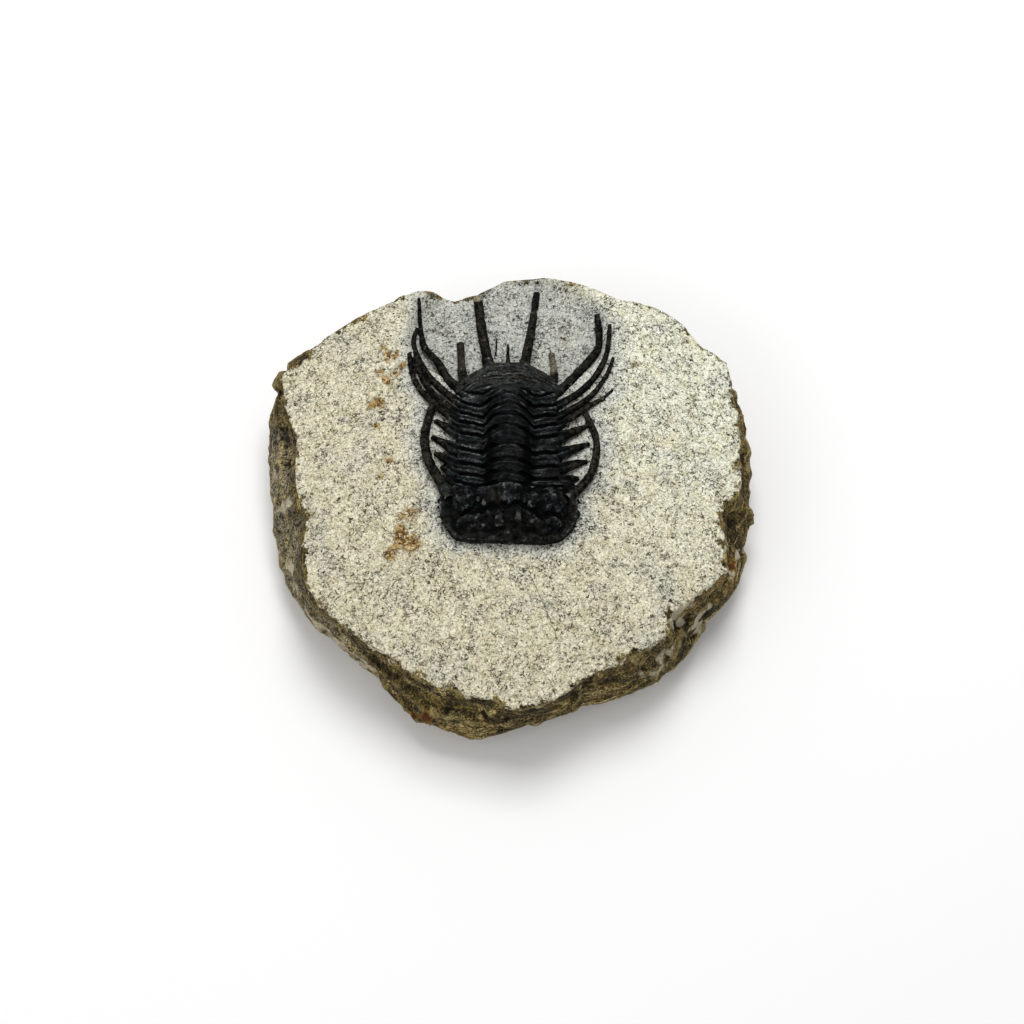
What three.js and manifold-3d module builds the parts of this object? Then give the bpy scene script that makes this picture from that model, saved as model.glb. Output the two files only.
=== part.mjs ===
// A spiny trilobite in the piece of limestone that holds it.
// The stone's upper face has been cleaned down to the fossil and dug out behind it, so that the long spines lie
// bare in a hollow. Its broken sides flare out to a girdle and turn in below to a flat underside.
// Millimetres, +Z up. The head of the trilobite faces -Y and its spines point to +Y.
import * as THREE from 'three';
import { mergeVertices } from 'three/addons/utils/BufferGeometryUtils.js';
import Module from 'manifold-3d';

const wasm = await Module();
wasm.setup();

// Stone: the cleaned upper face, the outline of its edge, the girdle where it is widest, and the underside.
const stone = {
  crownHeight: 18.5, // highest level of the cleaned face
  crownY: 6, // where along the axis the face is highest
  fallAcross: 0.003, // drop of the face per square millimetre to the sides
  fallFront: 0.003, // and to the front
  fallBack: 0.0016, // and to the back
  footShare: 0.87, // size of the flat underside against the girdle
  undercutShare: 0.955, // size of the turn between girdle and underside
  undercutHeight: 1.6,
  corners: 96, // points around the outline
  faceShares: [0.14, 0.3, 0.45, 0.58, 0.7, 0.8, 0.88, 0.95, 1], // rings of the cleaned face, middle to edge
  sideShares: [0.3, 0.65, 1], // rings of the broken sides, edge to girdle
};

// How the broken sides wander in and out: waves around the stone, turn per ring, reach.
const sideWaves = [[7, 2.1, 0.4], [13, -1.7, 0.4], [29, 4.3, 0.35]];

// Edge of the cleaned face seen from above: angle in degrees from +X, distance from the middle.
const edgeCorners = [
  [0, 32.3], [8, 33.2], [16, 34.2], [26, 36], [34, 38.2], [40, 36.6], [50, 37.2], [56, 36.8],
  [63, 35], [73, 35.1], [82, 35.4], [92, 35], [99, 33.2], [105, 33], [113, 35.4], [124, 35.8],
  [134, 37], [144, 37.8], [150, 39], [156, 36.4], [164, 32.4], [178, 31], [187, 29.5], [192, 30],
  [200, 31.5], [206, 32], [216, 31.3], [226, 30.3], [238, 29.6], [247, 30.7], [256, 30.3], [266, 30.9],
  [272, 32.2], [278, 31.6], [288, 29.9], [297, 28.9], [309, 30], [316, 30.3], [321, 28.7], [329, 30],
  [339, 32.4], [348, 30.6], [354, 30],
];

// Girdle: angle, distance from the middle, height above the underside.
const girdleCorners = [
  [0, 35.6], [4, 34.7], [15, 36.9], [25, 38], [34, 39.2], [50, 38.4], [63, 36.4], [82, 36.6],
  [102, 34.6], [113, 36.6], [134, 38.8], [146, 41], [155, 39.4], [165, 37.4], [176, 35.4], [187, 34.7],
  [198, 34.4], [209, 33], [219, 31.2], [230, 30.8], [240, 32], [250, 33.5], [260, 33.7], [270, 31.9],
  [280, 30.7], [290, 30.4], [300, 31.4], [310, 32.7], [322, 32.3], [331, 32.3], [342, 34.2], [353, 34.7],
];
const girdleHeights = [[0, 5], [60, 7], [120, 8], [146, 10.5], [172, 6], [230, 4.5], [290, 5], [340, 5.5]];

// Hollow dug behind the trilobite to bare its spines.
const hollow = {
  x: -0.4,
  y: 25.6,
  halfWidth: 15.6,
  halfLength: 10.8,
  depth: 2.3,
  floorShare: 0.74, // size of its flat floor
  lipShare: 1.06, // size of its upper edge
};

// Trilobite: the axis of its body, the ends of its head and tail, and how it sits in the stone.
const axisX = -0.5;
const headFront = -8.7;
const headBack = -0.9;
const tailEnd = 20.2;
const seatDepth = 1; // how deep the body sits in the stone
const seatGap = 0.3; // clearance between the fossil and the stone
const seatTop = 8; // how far the cut for the seat reaches above the stone

// Stations along the body: y, half width, half width of the axis, height of the body's base line,
// and heights above that of the margin, the side lobes and the axis.
const bodyStations = [
  [headFront, 5.6, 2.4, 17.9, 0.8, 0.9, 1],
  [-8.3, 7.1, 2.6, 17.9, 0.8, 1.2, 1.5],
  [-7.6, 8.1, 2.6, 18, 0.8, 1.5, 2],
  [-6.4, 9, 2.5, 18, 0.8, 1.8, 2.4],
  [-4.6, 9.7, 2.4, 18.1, 0.8, 2, 2.6],
  [-2.6, 9.7, 2.6, 18.3, 0.8, 2.1, 2.8],
  [headBack, 9.3, 3.2, 18.4, 0.7, 1.9, 2.8],
  [0.2, 8.7, 3.5, 18.4, 0.6, 1.9, 3],
  [4, 8.6, 3.6, 18.4, 0.6, 1.9, 3.2],
  [8, 8.5, 3.6, 18.4, 0.6, 1.9, 3.2],
  [10.5, 8.3, 3.3, 18.3, 0.6, 1.9, 3.1],
  [12.5, 8.1, 2.8, 18.2, 0.6, 1.9, 2.9],
  [14.2, 7.9, 2.1, 18, 0.6, 1.8, 2.5],
  [16.2, 7.1, 1.2, 17.6, 0.6, 1.6, 1.9],
  [17.6, 6.1, 0.6, 17.3, 0.6, 1.3, 1.4],
  [18.6, 5, 0.4, 17.1, 0.6, 1.1, 1.2],
  [19.5, 3.6, 0.3, 16.9, 0.6, 0.9, 1],
  [tailEnd, 2, 0.3, 16.7, 0.6, 0.7, 0.8],
];

// Shares of the half width at which the back is drawn, and the share at which a side lobe starts to fall.
const backShares = [-1, -0.85, -0.65, -0.4, -0.3, -0.15, 0, 0.15, 0.3, 0.4, 0.65, 0.85, 1];
const lobeTop = 0.55;

// Segments of the body, head to tail: where the left and the right half of each one leaves the furrow beside
// the axis. Each half runs from the axis over the side lobe to the margin, through shares of the half width.
const segmentRows = [
  [-1, -1.2], [0.6, 0.1], [2.2, 2], [4.4, 4.1], [6.9, 6.6], [8.6, 8.3], [10, 9.9], [11.8, 11.6], [13.7, 13.4],
];
const segmentPath = [
  { share: -0.04, sink: 0.35 },
  { share: 0.22, sink: 0.4 },
  { share: 0.42, sink: 0.35 },
  { share: 0.68, sink: 0.25 },
  { share: 0.92, sink: 0.1 },
];
const segmentForm = {
  radius: 0.72, // half thickness where it crosses the axis
  furrowReach: 3.6, // distance of the furrow from the axis
  sweepPower: 1.7, // how late a half turns back towards its spine
  bends: [[0, 0.5], [4, 0.9], [9, 1.8], [14, 2.3]], // row, and how far its middle lies behind the furrow
};

// Side spines of each segment, head to tail, as [x, y] from the margin of the body to the tip.
const leftSpines = [
  [[-9.4, 1.3]],
  [[-10.1, 3.1]],
  [[-11.1, 5.3]],
  [[-11.5, 7.9]],
  [[-11.1, 10.5]],
  [[-11.4, 13], [-13.5, 15.6], [-14.6, 18.6], [-15, 21.6]],
  [[-11, 14.1], [-12.6, 16.4], [-13.7, 19.1], [-14.2, 22]],
  [[-10.4, 15.5], [-12.4, 18], [-13.9, 21.5], [-14.5, 24.4], [-14, 26.8]],
  [[-9.3, 17.2], [-11, 20.6], [-12.8, 23.3], [-13.5, 26.6], [-13.8, 31.2]],
];
const rightSpines = [
  [[8.9, -0.1]],
  [[9.5, 1.3]],
  [[10.8, 4]],
  [[11.1, 6.8]],
  [[10.7, 9.5]],
  [[10.4, 11.9], [13, 14.1], [15.6, 15.9]],
  [[10.9, 13.6], [12.9, 16.2], [14.2, 18.9], [14.8, 20.9]],
  [[9.8, 14.8], [12.3, 17.8], [13.9, 21.8], [14.4, 26.8]],
  [[8.6, 16.9], [10.6, 19.6], [12.5, 22.6], [12.9, 25.4], [12.6, 29]],
];

// Cheek spines that sweep back from the corners of the head, and the spines of the tail, as [x, y] to the tip.
const leftCheekSpine = [[-8.8, -2.4], [-10.5, 1], [-11.9, 4], [-12.5, 8], [-11.5, 12.5]];
const rightCheekSpine = [[7.8, -2.4], [9.9, -0.3], [11.5, 2.6], [12.1, 7], [10.6, 11.5]];
const tailSpines = [
  { route: [[-2, 15.6], [-3, 17.6], [-3.6, 21], [-4.5, 26.6], [-5.1, 32.2]], root: 0.9, tip: 0.6 },
  { route: [[0.9, 15.6], [1.6, 17.6], [2, 21], [2.9, 26.6], [3.7, 33]], root: 0.9, tip: 0.5 },
  { route: [[-6.2, 15], [-7.1, 17.2], [-7.4, 20.4], [-7.6, 24.2]], root: 0.7, tip: 0.45 },
  { route: [[5.2, 15], [6.1, 17.2], [6.1, 19.8], [5.8, 23.2]], root: 0.7, tip: 0.42 },
  { route: [[-0.6, 18.4], [-0.6, 21], [-0.6, 24]], root: 0.5, tip: 0.2 },
];
const spine = { sides: 5, stepLength: 2, rootRadius: 0.65, tipRadius: 0.3, cheekRoot: 0.85, cheekTip: 0.55 };
const cheekSpineRoot = 19.3; // height at which a cheek spine leaves the head
const rootSink = 0.2; // how far the root of a tail spine is sunk in the back
const landing = 0.9; // share of a spine's points over which it comes down to the stone

// Lobes of the head: x, y, half width, half length, height above the back.
const headLobes = [
  [-6.8, -3, 1.9, 1.9, 0.8], // left eye
  [-3.7, -2.6, 1.7, 2, 0.6],
  [-0.4, -2, 2.1, 2.1, 0.7], // middle
  [2.8, -3.2, 1.6, 1.4, 0.75],
  [5.7, -3.1, 2, 2.1, 0.85], // right eye
  [-5.6, -6, 2.1, 0.75, 0.45], // folds of the front slope
  [-1.9, -6.1, 0.8, 1.4, 0.4],
  [0.9, -6.2, 0.55, 1.5, 0.4],
  [3.2, -6.4, 1.5, 1.2, 0.3],
  [5.8, -6.2, 1.6, 0.8, 0.45],
];
const lobeSink = 0.3; // how far the middle of a lobe lies under the back

// Furrow across the head. Between two distances from the axis it drops to the front.
const headFurrow = {
  y: -4, // at the axis
  drop: 1.2,
  from: 1.5,
  to: 5.5,
  share: 0.8, // part of the half width that it spans
  depth: 0.5,
  points: 9,
  steps: 18,
};

// Border around the front of the head, and the short spines that fringe its sides.
const border = { inset: 0.2, height: 0.45, radius: 0.5, steps: 22 };
const fringe = {
  count: 6,
  firstY: -6.4,
  lastY: -2.2,
  length: 0.6,
  inset: 0.3,
  height: 0.5,
  radius: 0.3,
  tipShare: 0.3,
};

const stoneMaterial = new THREE.MeshStandardMaterial({ color: 0xbfbaa2, roughness: 0.95, metalness: 0 });
const fossilMaterial = new THREE.MeshStandardMaterial({ color: 0x1b1d1d, roughness: 0.5, metalness: 0 });

// Value of a table of [key, value, ...] rows between its keys. Outside them the end rows hold.
function between(rows, key, column = 1) {
  const next = rows.findIndex((row) => row[0] > key);
  if (next === 0) return rows[0][column];
  if (next < 0) return rows.at(-1)[column];
  const [low, high] = [rows[next - 1], rows[next]];
  return THREE.MathUtils.mapLinear(key, low[0], high[0], low[column], high[column]);
}

// The same for rows of [angle, value] that go once around.
const around360 = (rows, angle) => between([...rows, [rows[0][0] + 360, rows[0][1]]], angle);

// Level of the cleaned face of the stone.
function faceHeight(x, y) {
  const fall = y < stone.crownY ? stone.fallFront : stone.fallBack;
  const dome = stone.crownHeight - stone.fallAcross * x * x - fall * (y - stone.crownY) ** 2;
  const reach = Math.hypot((x - hollow.x) / hollow.halfWidth, (y - hollow.y) / hollow.halfLength);
  return dome - hollow.depth * (1 - THREE.MathUtils.smoothstep(reach, hollow.floorShare, hollow.lipShare));
}

// A closed body through a row of rings with the same number of points, each end closed by a fan.
function loft(rings) {
  const count = rings[0].length;
  const points = rings.flat();
  const faces = [];
  for (let r = 0; r + 1 < rings.length; r++) {
    for (let i = 0; i < count; i++) {
      const a = r * count + i;
      const b = r * count + ((i + 1) % count);
      faces.push(a, b, b + count, a, b + count, a + count);
    }
  }
  for (const [ring, turn] of [[0, 1], [rings.length - 1, 0]]) {
    const middle = new THREE.Vector3();
    for (const p of rings[ring]) middle.addScaledVector(p, 1 / count);
    const hub = points.push(middle) - 1;
    for (let i = 0; i < count; i++) {
      const a = ring * count + ((i + turn) % count);
      const b = ring * count + ((i + 1 - turn) % count);
      faces.push(hub, a, b);
    }
  }
  const geometry = new THREE.BufferGeometry().setFromPoints(points);
  geometry.setIndex(faces);
  return geometry;
}

// A solid for joining and cutting. Its faces are turned outwards if they point in.
function solidOf(geometry) {
  const bare = geometry.clone();
  for (const name of Object.keys(bare.attributes)) if (name !== 'position') bare.deleteAttribute(name);
  const merged = mergeVertices(bare, 1e-4);
  const position = merged.getAttribute('position');
  const [a, b, c] = [new THREE.Vector3(), new THREE.Vector3(), new THREE.Vector3()];
  const corners = [];
  let volume = 0;
  for (let i = 0; i < merged.index.count; i += 3) {
    const face = [0, 1, 2].map((k) => merged.index.getX(i + k));
    if (new Set(face).size < 3) continue;
    corners.push(...face);
    [a, b, c].forEach((p, k) => p.fromBufferAttribute(position, face[k]));
    volume += a.dot(b.cross(c));
  }
  if (volume < 0) corners.reverse();
  const triVerts = new Uint32Array(corners);
  return new wasm.Manifold(new wasm.Mesh({ numProp: 3, vertProperties: position.array, triVerts }));
}

// The joined solid as a geometry for a mesh.
function geometryOf(solid) {
  const mesh = solid.getMesh();
  const geometry = new THREE.BufferGeometry();
  geometry.setAttribute('position', new THREE.BufferAttribute(new Float32Array(mesh.vertProperties), 3));
  geometry.setIndex(new THREE.BufferAttribute(new Uint32Array(mesh.triVerts), 1));
  geometry.computeVertexNormals();
  return geometry;
}

// A round bar along a smooth route. radiusAt gives its radius from 0 at the start to 1 at the end.
function bar(route, radiusAt, steps, sides = spine.sides) {
  const curve = new THREE.CatmullRomCurve3(route, false, 'centripetal');
  const frames = curve.computeFrenetFrames(steps, false);
  const rings = [];
  for (let s = 0; s <= steps; s++) {
    const middle = curve.getPointAt(s / steps);
    const radius = radiusAt(s / steps);
    const ring = [];
    for (let i = 0; i < sides; i++) {
      const turn = (i / sides) * 2 * Math.PI;
      const point = middle.clone();
      point.addScaledVector(frames.normals[s], radius * Math.cos(turn));
      ring.push(point.addScaledVector(frames.binormals[s], radius * Math.sin(turn)));
    }
    rings.push(ring);
  }
  return solidOf(loft(rings));
}

// A rounded swelling.
function swelling(x, y, z, halfWidth, halfLength, halfHeight) {
  const around = halfWidth > 2 ? 12 : 8;
  const ball = new THREE.SphereGeometry(1, around, around / 2);
  ball.scale(halfWidth, halfLength, halfHeight);
  ball.translate(x, y, z);
  return solidOf(ball);
}

// Stone: rings of the cleaned face, then down the broken sides to the underside.
function makeStone() {
  const angles = Array.from({ length: stone.corners }, (_, i) => (i * 360) / stone.corners);
  const ringOf = (place) => angles.map((angle) => place(angle, THREE.MathUtils.degToRad(angle)));
  const at = (turn, distance, z) => new THREE.Vector3(distance * Math.cos(turn), distance * Math.sin(turn), z);
  const facePoint = (angle, turn, share) => {
    const p = at(turn, share * around360(edgeCorners, angle), 0);
    return p.setZ(faceHeight(p.x, p.y));
  };
  const girdlePoint = (angle, turn, share) => {
    return at(turn, share * around360(girdleCorners, angle), around360(girdleHeights, angle));
  };
  const wander = (turn, level) => {
    const swings = sideWaves.map(([waves, shift, reach]) => reach * Math.sin(waves * turn + shift * level));
    return swings.reduce((sum, swing) => sum + swing);
  };
  const rings = stone.faceShares.map((share) => ringOf((angle, turn) => facePoint(angle, turn, share)));
  stone.sideShares.forEach((share, level) => {
    rings.push(ringOf((angle, turn) => {
      const p = facePoint(angle, turn, 1).lerp(girdlePoint(angle, turn, 1), share);
      return share < 1 ? p.add(at(turn, wander(turn, level), 0)) : p;
    }));
  });
  const turnIn = (share, height) => ringOf((angle, turn) => girdlePoint(angle, turn, share).setZ(height));
  rings.push(turnIn(stone.undercutShare, stone.undercutHeight), turnIn(stone.footShare, 0));
  return solidOf(loft(rings));
}

// Column of bodyStations at y.
const station = (y, column) => between(bodyStations, y, column);
const [halfWidth, axisHalfWidth, baseLine, marginHeight, lobeHeight, axisHeight] = [1, 2, 3, 4, 5, 6];

// Height of the body's back at y, at a share of its half width from the axis.
function backHeight(y, share) {
  const across = Math.abs(share);
  const axisShare = station(y, axisHalfWidth) / station(y, halfWidth);
  const lobe = THREE.MathUtils.lerp(
    station(y, lobeHeight),
    station(y, marginHeight),
    THREE.MathUtils.smoothstep(across, lobeTop, 1),
  );
  if (across >= axisShare) return station(y, baseLine) + lobe;
  const arch = 1 - (across / axisShare) ** 2;
  return station(y, baseLine) + lobe + (station(y, axisHeight) - lobe) * arch;
}

const backAt = (x, y) => backHeight(y, (x - axisX) / station(y, halfWidth));

// Underside of the body, let into the stone.
const bodyFloor = (y) => Math.min(station(y, baseLine), faceHeight(axisX, y)) - seatDepth;

// Body without its segments: an arched back over an underside let into the stone.
function makeTrunk() {
  const rings = bodyStations.map(([y, width]) => {
    const back = backShares.map((share) => new THREE.Vector3(axisX + share * width, y, backHeight(y, share)));
    const floor = bodyFloor(y);
    return [new THREE.Vector3(axisX - width, y, floor), ...back, new THREE.Vector3(axisX + width, y, floor)];
  });
  return solidOf(loft(rings));
}

// Seat of the body in the stone, one gap wider and deeper than the body.
function makeSeat() {
  const above = stone.crownHeight + seatTop;
  const rings = bodyStations.map(([y, width], i) => {
    const ends = i === 0 ? -seatGap : i === bodyStations.length - 1 ? seatGap : 0;
    const reach = width + seatGap;
    const floor = bodyFloor(y) - seatGap;
    const corners = [[-reach, floor], [-reach, above], [reach, above], [reach, floor]];
    return corners.map(([x, z]) => new THREE.Vector3(axisX + x, y + ends, z));
  });
  return solidOf(loft(rings));
}

// Spine points from [x, y] rows, coming down from the height of the root to lie on the face of the stone.
function layOnFace(route, rootHeight, rootRadius, tipRadius) {
  return route.map(([x, y], i) => {
    const along = (i + 1) / route.length;
    const rest = faceHeight(x, y) + THREE.MathUtils.lerp(rootRadius, tipRadius, along) + seatGap;
    const fall = THREE.MathUtils.smoothstep(along, 0, landing);
    return new THREE.Vector3(x, y, Math.max(rest, THREE.MathUtils.lerp(rootHeight, rest, fall)));
  });
}

// Steps that follow a route closely enough for its length.
const stepsFor = (points) => {
  const length = points.reduce((sum, p, i) => (i ? sum + p.distanceTo(points[i - 1]) : 0), 0);
  return Math.ceil(length / spine.stepLength);
};

const spineRoute = (index, sign) => (sign < 0 ? leftSpines : rightSpines)[index];

// Where a segment lies at a distance from the axis: bent back over the axis, swept back outside the furrow.
function segmentLine(index, sign, reach) {
  const [left, right] = segmentRows[index];
  const own = sign < 0 ? left : right;
  const inward = Math.min(reach / segmentForm.furrowReach, 1);
  const row = THREE.MathUtils.lerp((left + right) / 2, own, THREE.MathUtils.smoothstep(inward, 0, 1));
  const [spineX, spineY] = spineRoute(index, sign)[0];
  const outward = (reach - segmentForm.furrowReach) / (Math.abs(spineX - axisX) - segmentForm.furrowReach);
  const sweep = (spineY - own) * Math.max(outward, 0) ** segmentForm.sweepPower;
  return row + sweep + between(segmentForm.bends, own) * (1 - inward ** 2);
}

// Half of a segment, and on into its spine.
function makeHalfSegment(index, sign) {
  const width = station(segmentRows[index][0], halfWidth);
  const overBody = segmentPath.map(({ share, sink }) => {
    const x = axisX + sign * share * width;
    const y = segmentLine(index, sign, Math.abs(share) * width);
    return new THREE.Vector3(x, y, backAt(x, y) - sink);
  });
  const margin = overBody.at(-1);
  margin.z = Math.max(margin.z, faceHeight(margin.x, margin.y) + spine.rootRadius + seatGap);
  const free = layOnFace(spineRoute(index, sign), margin.z, spine.rootRadius, spine.tipRadius);
  const tip = free.at(-1);
  const marginShare = 1 - tip.distanceTo(margin) / tip.distanceTo(overBody[0]);
  const radiusAt = (t) => {
    if (t < marginShare) return THREE.MathUtils.lerp(segmentForm.radius, spine.rootRadius, t / marginShare);
    return THREE.MathUtils.mapLinear(t, marginShare, 1, spine.rootRadius, spine.tipRadius);
  };
  const route = [...overBody, ...free];
  return bar(route, radiusAt, stepsFor(route));
}

// Lobes of the head.
function makeHeadLobes() {
  return headLobes.map(([x, y, halfX, halfY, height]) => {
    return swelling(x, y, backAt(x, y) - lobeSink, halfX, halfY, height + lobeSink);
  });
}

// Furrow across the head, to be cut out of it.
function makeHeadFurrow() {
  const route = Array.from({ length: headFurrow.points }, (_, i) => {
    const share = THREE.MathUtils.mapLinear(i, 0, headFurrow.points - 1, -headFurrow.share, headFurrow.share);
    const reach = share * station(headFurrow.y, halfWidth);
    const drop = THREE.MathUtils.smoothstep(Math.abs(reach), headFurrow.from, headFurrow.to) * headFurrow.drop;
    const [x, y] = [axisX + reach, headFurrow.y - drop];
    return new THREE.Vector3(x, y, backAt(x, y));
  });
  return bar(route, () => headFurrow.depth, headFurrow.steps);
}

// Border around the front of the head and the fringe of short spines at its sides.
function makeHeadBorder() {
  const pieces = [];
  for (const sign of [-1, 1]) {
    for (let i = 0; i < fringe.count; i++) {
      const y = THREE.MathUtils.lerp(fringe.firstY, fringe.lastY, i / (fringe.count - 1));
      const edge = station(y, halfWidth) - fringe.inset;
      const z = station(y, baseLine) + fringe.height;
      const [root, tip] = [edge, edge + fringe.inset + fringe.length].map((x) => {
        return new THREE.Vector3(axisX + sign * x, y, z);
      });
      pieces.push(bar([root, tip], (t) => fringe.radius * THREE.MathUtils.lerp(1, fringe.tipShare, t), 1, 3));
    }
  }
  const headStations = bodyStations.filter(([y]) => y <= headBack);
  const side = (sign) => headStations.map(([y, width]) => {
    const x = axisX + sign * (width - border.inset);
    return new THREE.Vector3(x, y + border.inset, station(y, baseLine) + border.height);
  });
  const rim = [...side(-1).reverse(), ...side(1)];
  return [...pieces, bar(rim, () => border.radius, border.steps)];
}

// Cheek spine from the corner of the head, down to the face of the stone and back beside the body.
function makeCheekSpine(route) {
  const points = layOnFace(route, cheekSpineRoot, spine.cheekRoot, spine.cheekTip);
  return bar(points, (t) => THREE.MathUtils.lerp(spine.cheekRoot, spine.cheekTip, t), stepsFor(points));
}

// Spines of the tail, from its back over its margin to the face of the stone.
function makeTailSpines() {
  return tailSpines.map(({ route, root, tip }) => {
    const points = layOnFace(route, backAt(...route[0]) - rootSink, root, tip);
    return bar(points, (t) => THREE.MathUtils.lerp(root, tip, t), stepsFor(points));
  });
}

const joined = (whole, pieces) => pieces.reduce((sum, piece) => sum.add(piece), whole);

function makeTrilobite() {
  const body = joined(makeTrunk(), makeHeadLobes()).subtract(makeHeadFurrow());
  const pieces = [...makeHeadBorder(), ...makeTailSpines()];
  pieces.push(makeCheekSpine(leftCheekSpine), makeCheekSpine(rightCheekSpine));
  for (const i of segmentRows.keys()) pieces.push(makeHalfSegment(i, -1), makeHalfSegment(i, 1));
  return joined(body, pieces);
}

function node(name, solid, material) {
  const mesh = new THREE.Mesh(geometryOf(solid), material);
  mesh.name = name;
  return mesh;
}

const trilobite = makeTrilobite();
const matrix = makeStone().subtract(makeSeat());
const fossil = new THREE.Group();
fossil.add(node('matrix_stone', matrix, stoneMaterial), node('trilobite', trilobite, fossilMaterial));

// The origin is the middle of the underside.
const box = new THREE.Box3().setFromObject(fossil);
const middle = box.getCenter(new THREE.Vector3());
fossil.children.forEach((mesh) => mesh.position.set(-middle.x, -middle.y, -box.min.z));

export default fossil;
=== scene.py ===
import math

import bmesh
import bpy
import numpy as np
from mathutils import Matrix, Vector
from mathutils.kdtree import KDTree


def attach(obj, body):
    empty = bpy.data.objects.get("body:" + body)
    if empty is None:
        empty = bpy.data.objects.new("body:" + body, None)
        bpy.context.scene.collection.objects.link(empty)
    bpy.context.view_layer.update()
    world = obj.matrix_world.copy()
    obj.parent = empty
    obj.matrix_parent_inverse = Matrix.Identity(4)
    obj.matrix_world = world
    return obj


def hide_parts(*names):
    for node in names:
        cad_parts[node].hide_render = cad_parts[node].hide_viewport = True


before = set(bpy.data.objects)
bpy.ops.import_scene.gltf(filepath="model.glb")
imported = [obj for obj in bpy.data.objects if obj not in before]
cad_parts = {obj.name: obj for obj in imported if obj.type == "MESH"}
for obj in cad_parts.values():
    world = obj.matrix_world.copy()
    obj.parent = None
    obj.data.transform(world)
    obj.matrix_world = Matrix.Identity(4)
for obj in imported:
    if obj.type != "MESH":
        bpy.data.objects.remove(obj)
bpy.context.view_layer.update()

# Pieces are built in millimetres around the stone's own middle, which lies here in the frame.
middle = Vector((0.2415, -1.6047, 0.0))


# Small helpers for node trees, the same for geometry and for shaders.
def put(tree, kind, inputs=None, **settings):
    node = tree.nodes.new(kind)
    for name, value in settings.items():
        setattr(node, name, value)
    for key, value in (inputs or {}).items():
        if isinstance(value, bpy.types.NodeSocket):
            tree.links.new(value, node.inputs[key])
        else:
            node.inputs[key].default_value = value
    return node


def calc(tree, operation, *values):
    return put(tree, "ShaderNodeMath", dict(enumerate(values)), operation=operation).outputs[0]


def times(tree, first, second):
    return calc(tree, "MULTIPLY", first, second)


def plus(tree, first, second):
    return calc(tree, "ADD", first, second)


def calcVector(tree, operation, first, second):
    return put(tree, "ShaderNodeVectorMath", {0: first, 1: second}, operation=operation)


def scaled(tree, vector, factor):
    return put(tree, "ShaderNodeVectorMath", {0: vector, "Scale": factor}, operation="SCALE").outputs[0]


def spread(tree, value, low, high, toLow=0.0, toHigh=1.0):
    limits = {"Value": value, 1: low, 2: high, 3: toLow, 4: toHigh}
    return put(tree, "ShaderNodeMapRange", limits, interpolation_type="SMOOTHSTEP").outputs[0]


def cloud(tree, place, size, detail=2.0, roughness=0.5, warp=0.0):
    frequency = calc(tree, "DIVIDE", 1.0, size)
    wanted = {
        "Vector": place, "Scale": frequency, "Detail": detail, "Roughness": roughness, "Distortion": warp,
    }
    return put(tree, "ShaderNodeTexNoise", wanted).outputs[0]


def swing(tree, place, size, reach, detail=2.0):
    centred = calc(tree, "SUBTRACT", cloud(tree, place, size, detail), 0.5)
    return times(tree, times(tree, centred, 2.0), reach)


# Flat faces at chance tilts, one for each cell of that size, as in broken rock.
def facets(tree, place, size, tilt):
    wanted = {"Vector": place, "Scale": calc(tree, "DIVIDE", 1.0, size), "Randomness": 1.0}
    cells = put(tree, "ShaderNodeTexVoronoi", wanted).outputs
    lean = calcVector(tree, "SUBTRACT", cells["Color"], (0.5, 0.5, 0.5)).outputs[0]
    arm = calcVector(tree, "SUBTRACT", place, cells["Position"]).outputs[0]
    return times(tree, calcVector(tree, "DOT_PRODUCT", lean, arm).outputs["Value"], tilt)


def mixColour(tree, factor, first, second, mode="MIX"):
    wanted = {0: factor, 6: first, 7: second}
    return put(tree, "ShaderNodeMix", wanted, data_type="RGBA", blend_type=mode).outputs[2]


def shade(tree, colour, amount):
    grey = put(tree, "ShaderNodeCombineXYZ", {0: amount, 1: amount, 2: amount}).outputs[0]
    return mixColour(tree, 1.0, colour, grey, "MULTIPLY")


# How far a cloud gives its tint: the cloud's own values, then the limits of the tint.
def tinting(tree, place, form):
    cloudForm, limits = form
    return spread(tree, cloud(tree, place, *cloudForm), *limits)


# A value that is stored on the mesh.
def mark(tree, name):
    return put(tree, "ShaderNodeAttribute", attribute_name=name).outputs["Fac"]


def newMaterial(name):
    material = bpy.data.materials.new(name)
    material.use_nodes = True
    return material, material.node_tree, material.node_tree.nodes["Principled BSDF"]


def closeMaterial(tree, shader, colour, roughness, height, form):
    normal = put(tree, "ShaderNodeBump", {
        "Strength": form["bump"], "Distance": form["bumpDepth"], "Height": height,
    }).outputs[0]
    for name, value in (("Base Color", colour), ("Roughness", roughness), ("Normal", normal)):
        tree.links.new(value, shader.inputs[name])
    shader.inputs["Specular IOR Level"].default_value = form["specular"]


def newTree(name, inputs):
    tree = bpy.data.node_groups.new(name, "GeometryNodeTree")
    tree.interface.new_socket(name="Geometry", in_out="OUTPUT", socket_type="NodeSocketGeometry")
    tree.interface.new_socket(name="Geometry", in_out="INPUT", socket_type="NodeSocketGeometry")
    for label, kind in inputs.items():
        tree.interface.new_socket(name=label, in_out="INPUT", socket_type="NodeSocket" + kind)
    return tree, put(tree, "NodeGroupInput").outputs


def closeTree(tree, geometry, material):
    whole = put(tree, "GeometryNodeRealizeInstances", {0: geometry}).outputs[0]
    painted = put(tree, "GeometryNodeSetMaterial", {"Geometry": whole, "Material": material}).outputs[0]
    put(tree, "NodeGroupOutput", {0: painted})


def named(tree, name, kind="FLOAT"):
    return put(tree, "GeometryNodeInputNamedAttribute", {"Name": name}, data_type=kind).outputs[0]


def keep(tree, geometry, name, value):
    wanted = {"Geometry": geometry, "Name": name, "Value": value}
    return put(tree, "GeometryNodeStoreNamedAttribute", wanted, data_type="FLOAT", domain="POINT").outputs[0]


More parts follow.
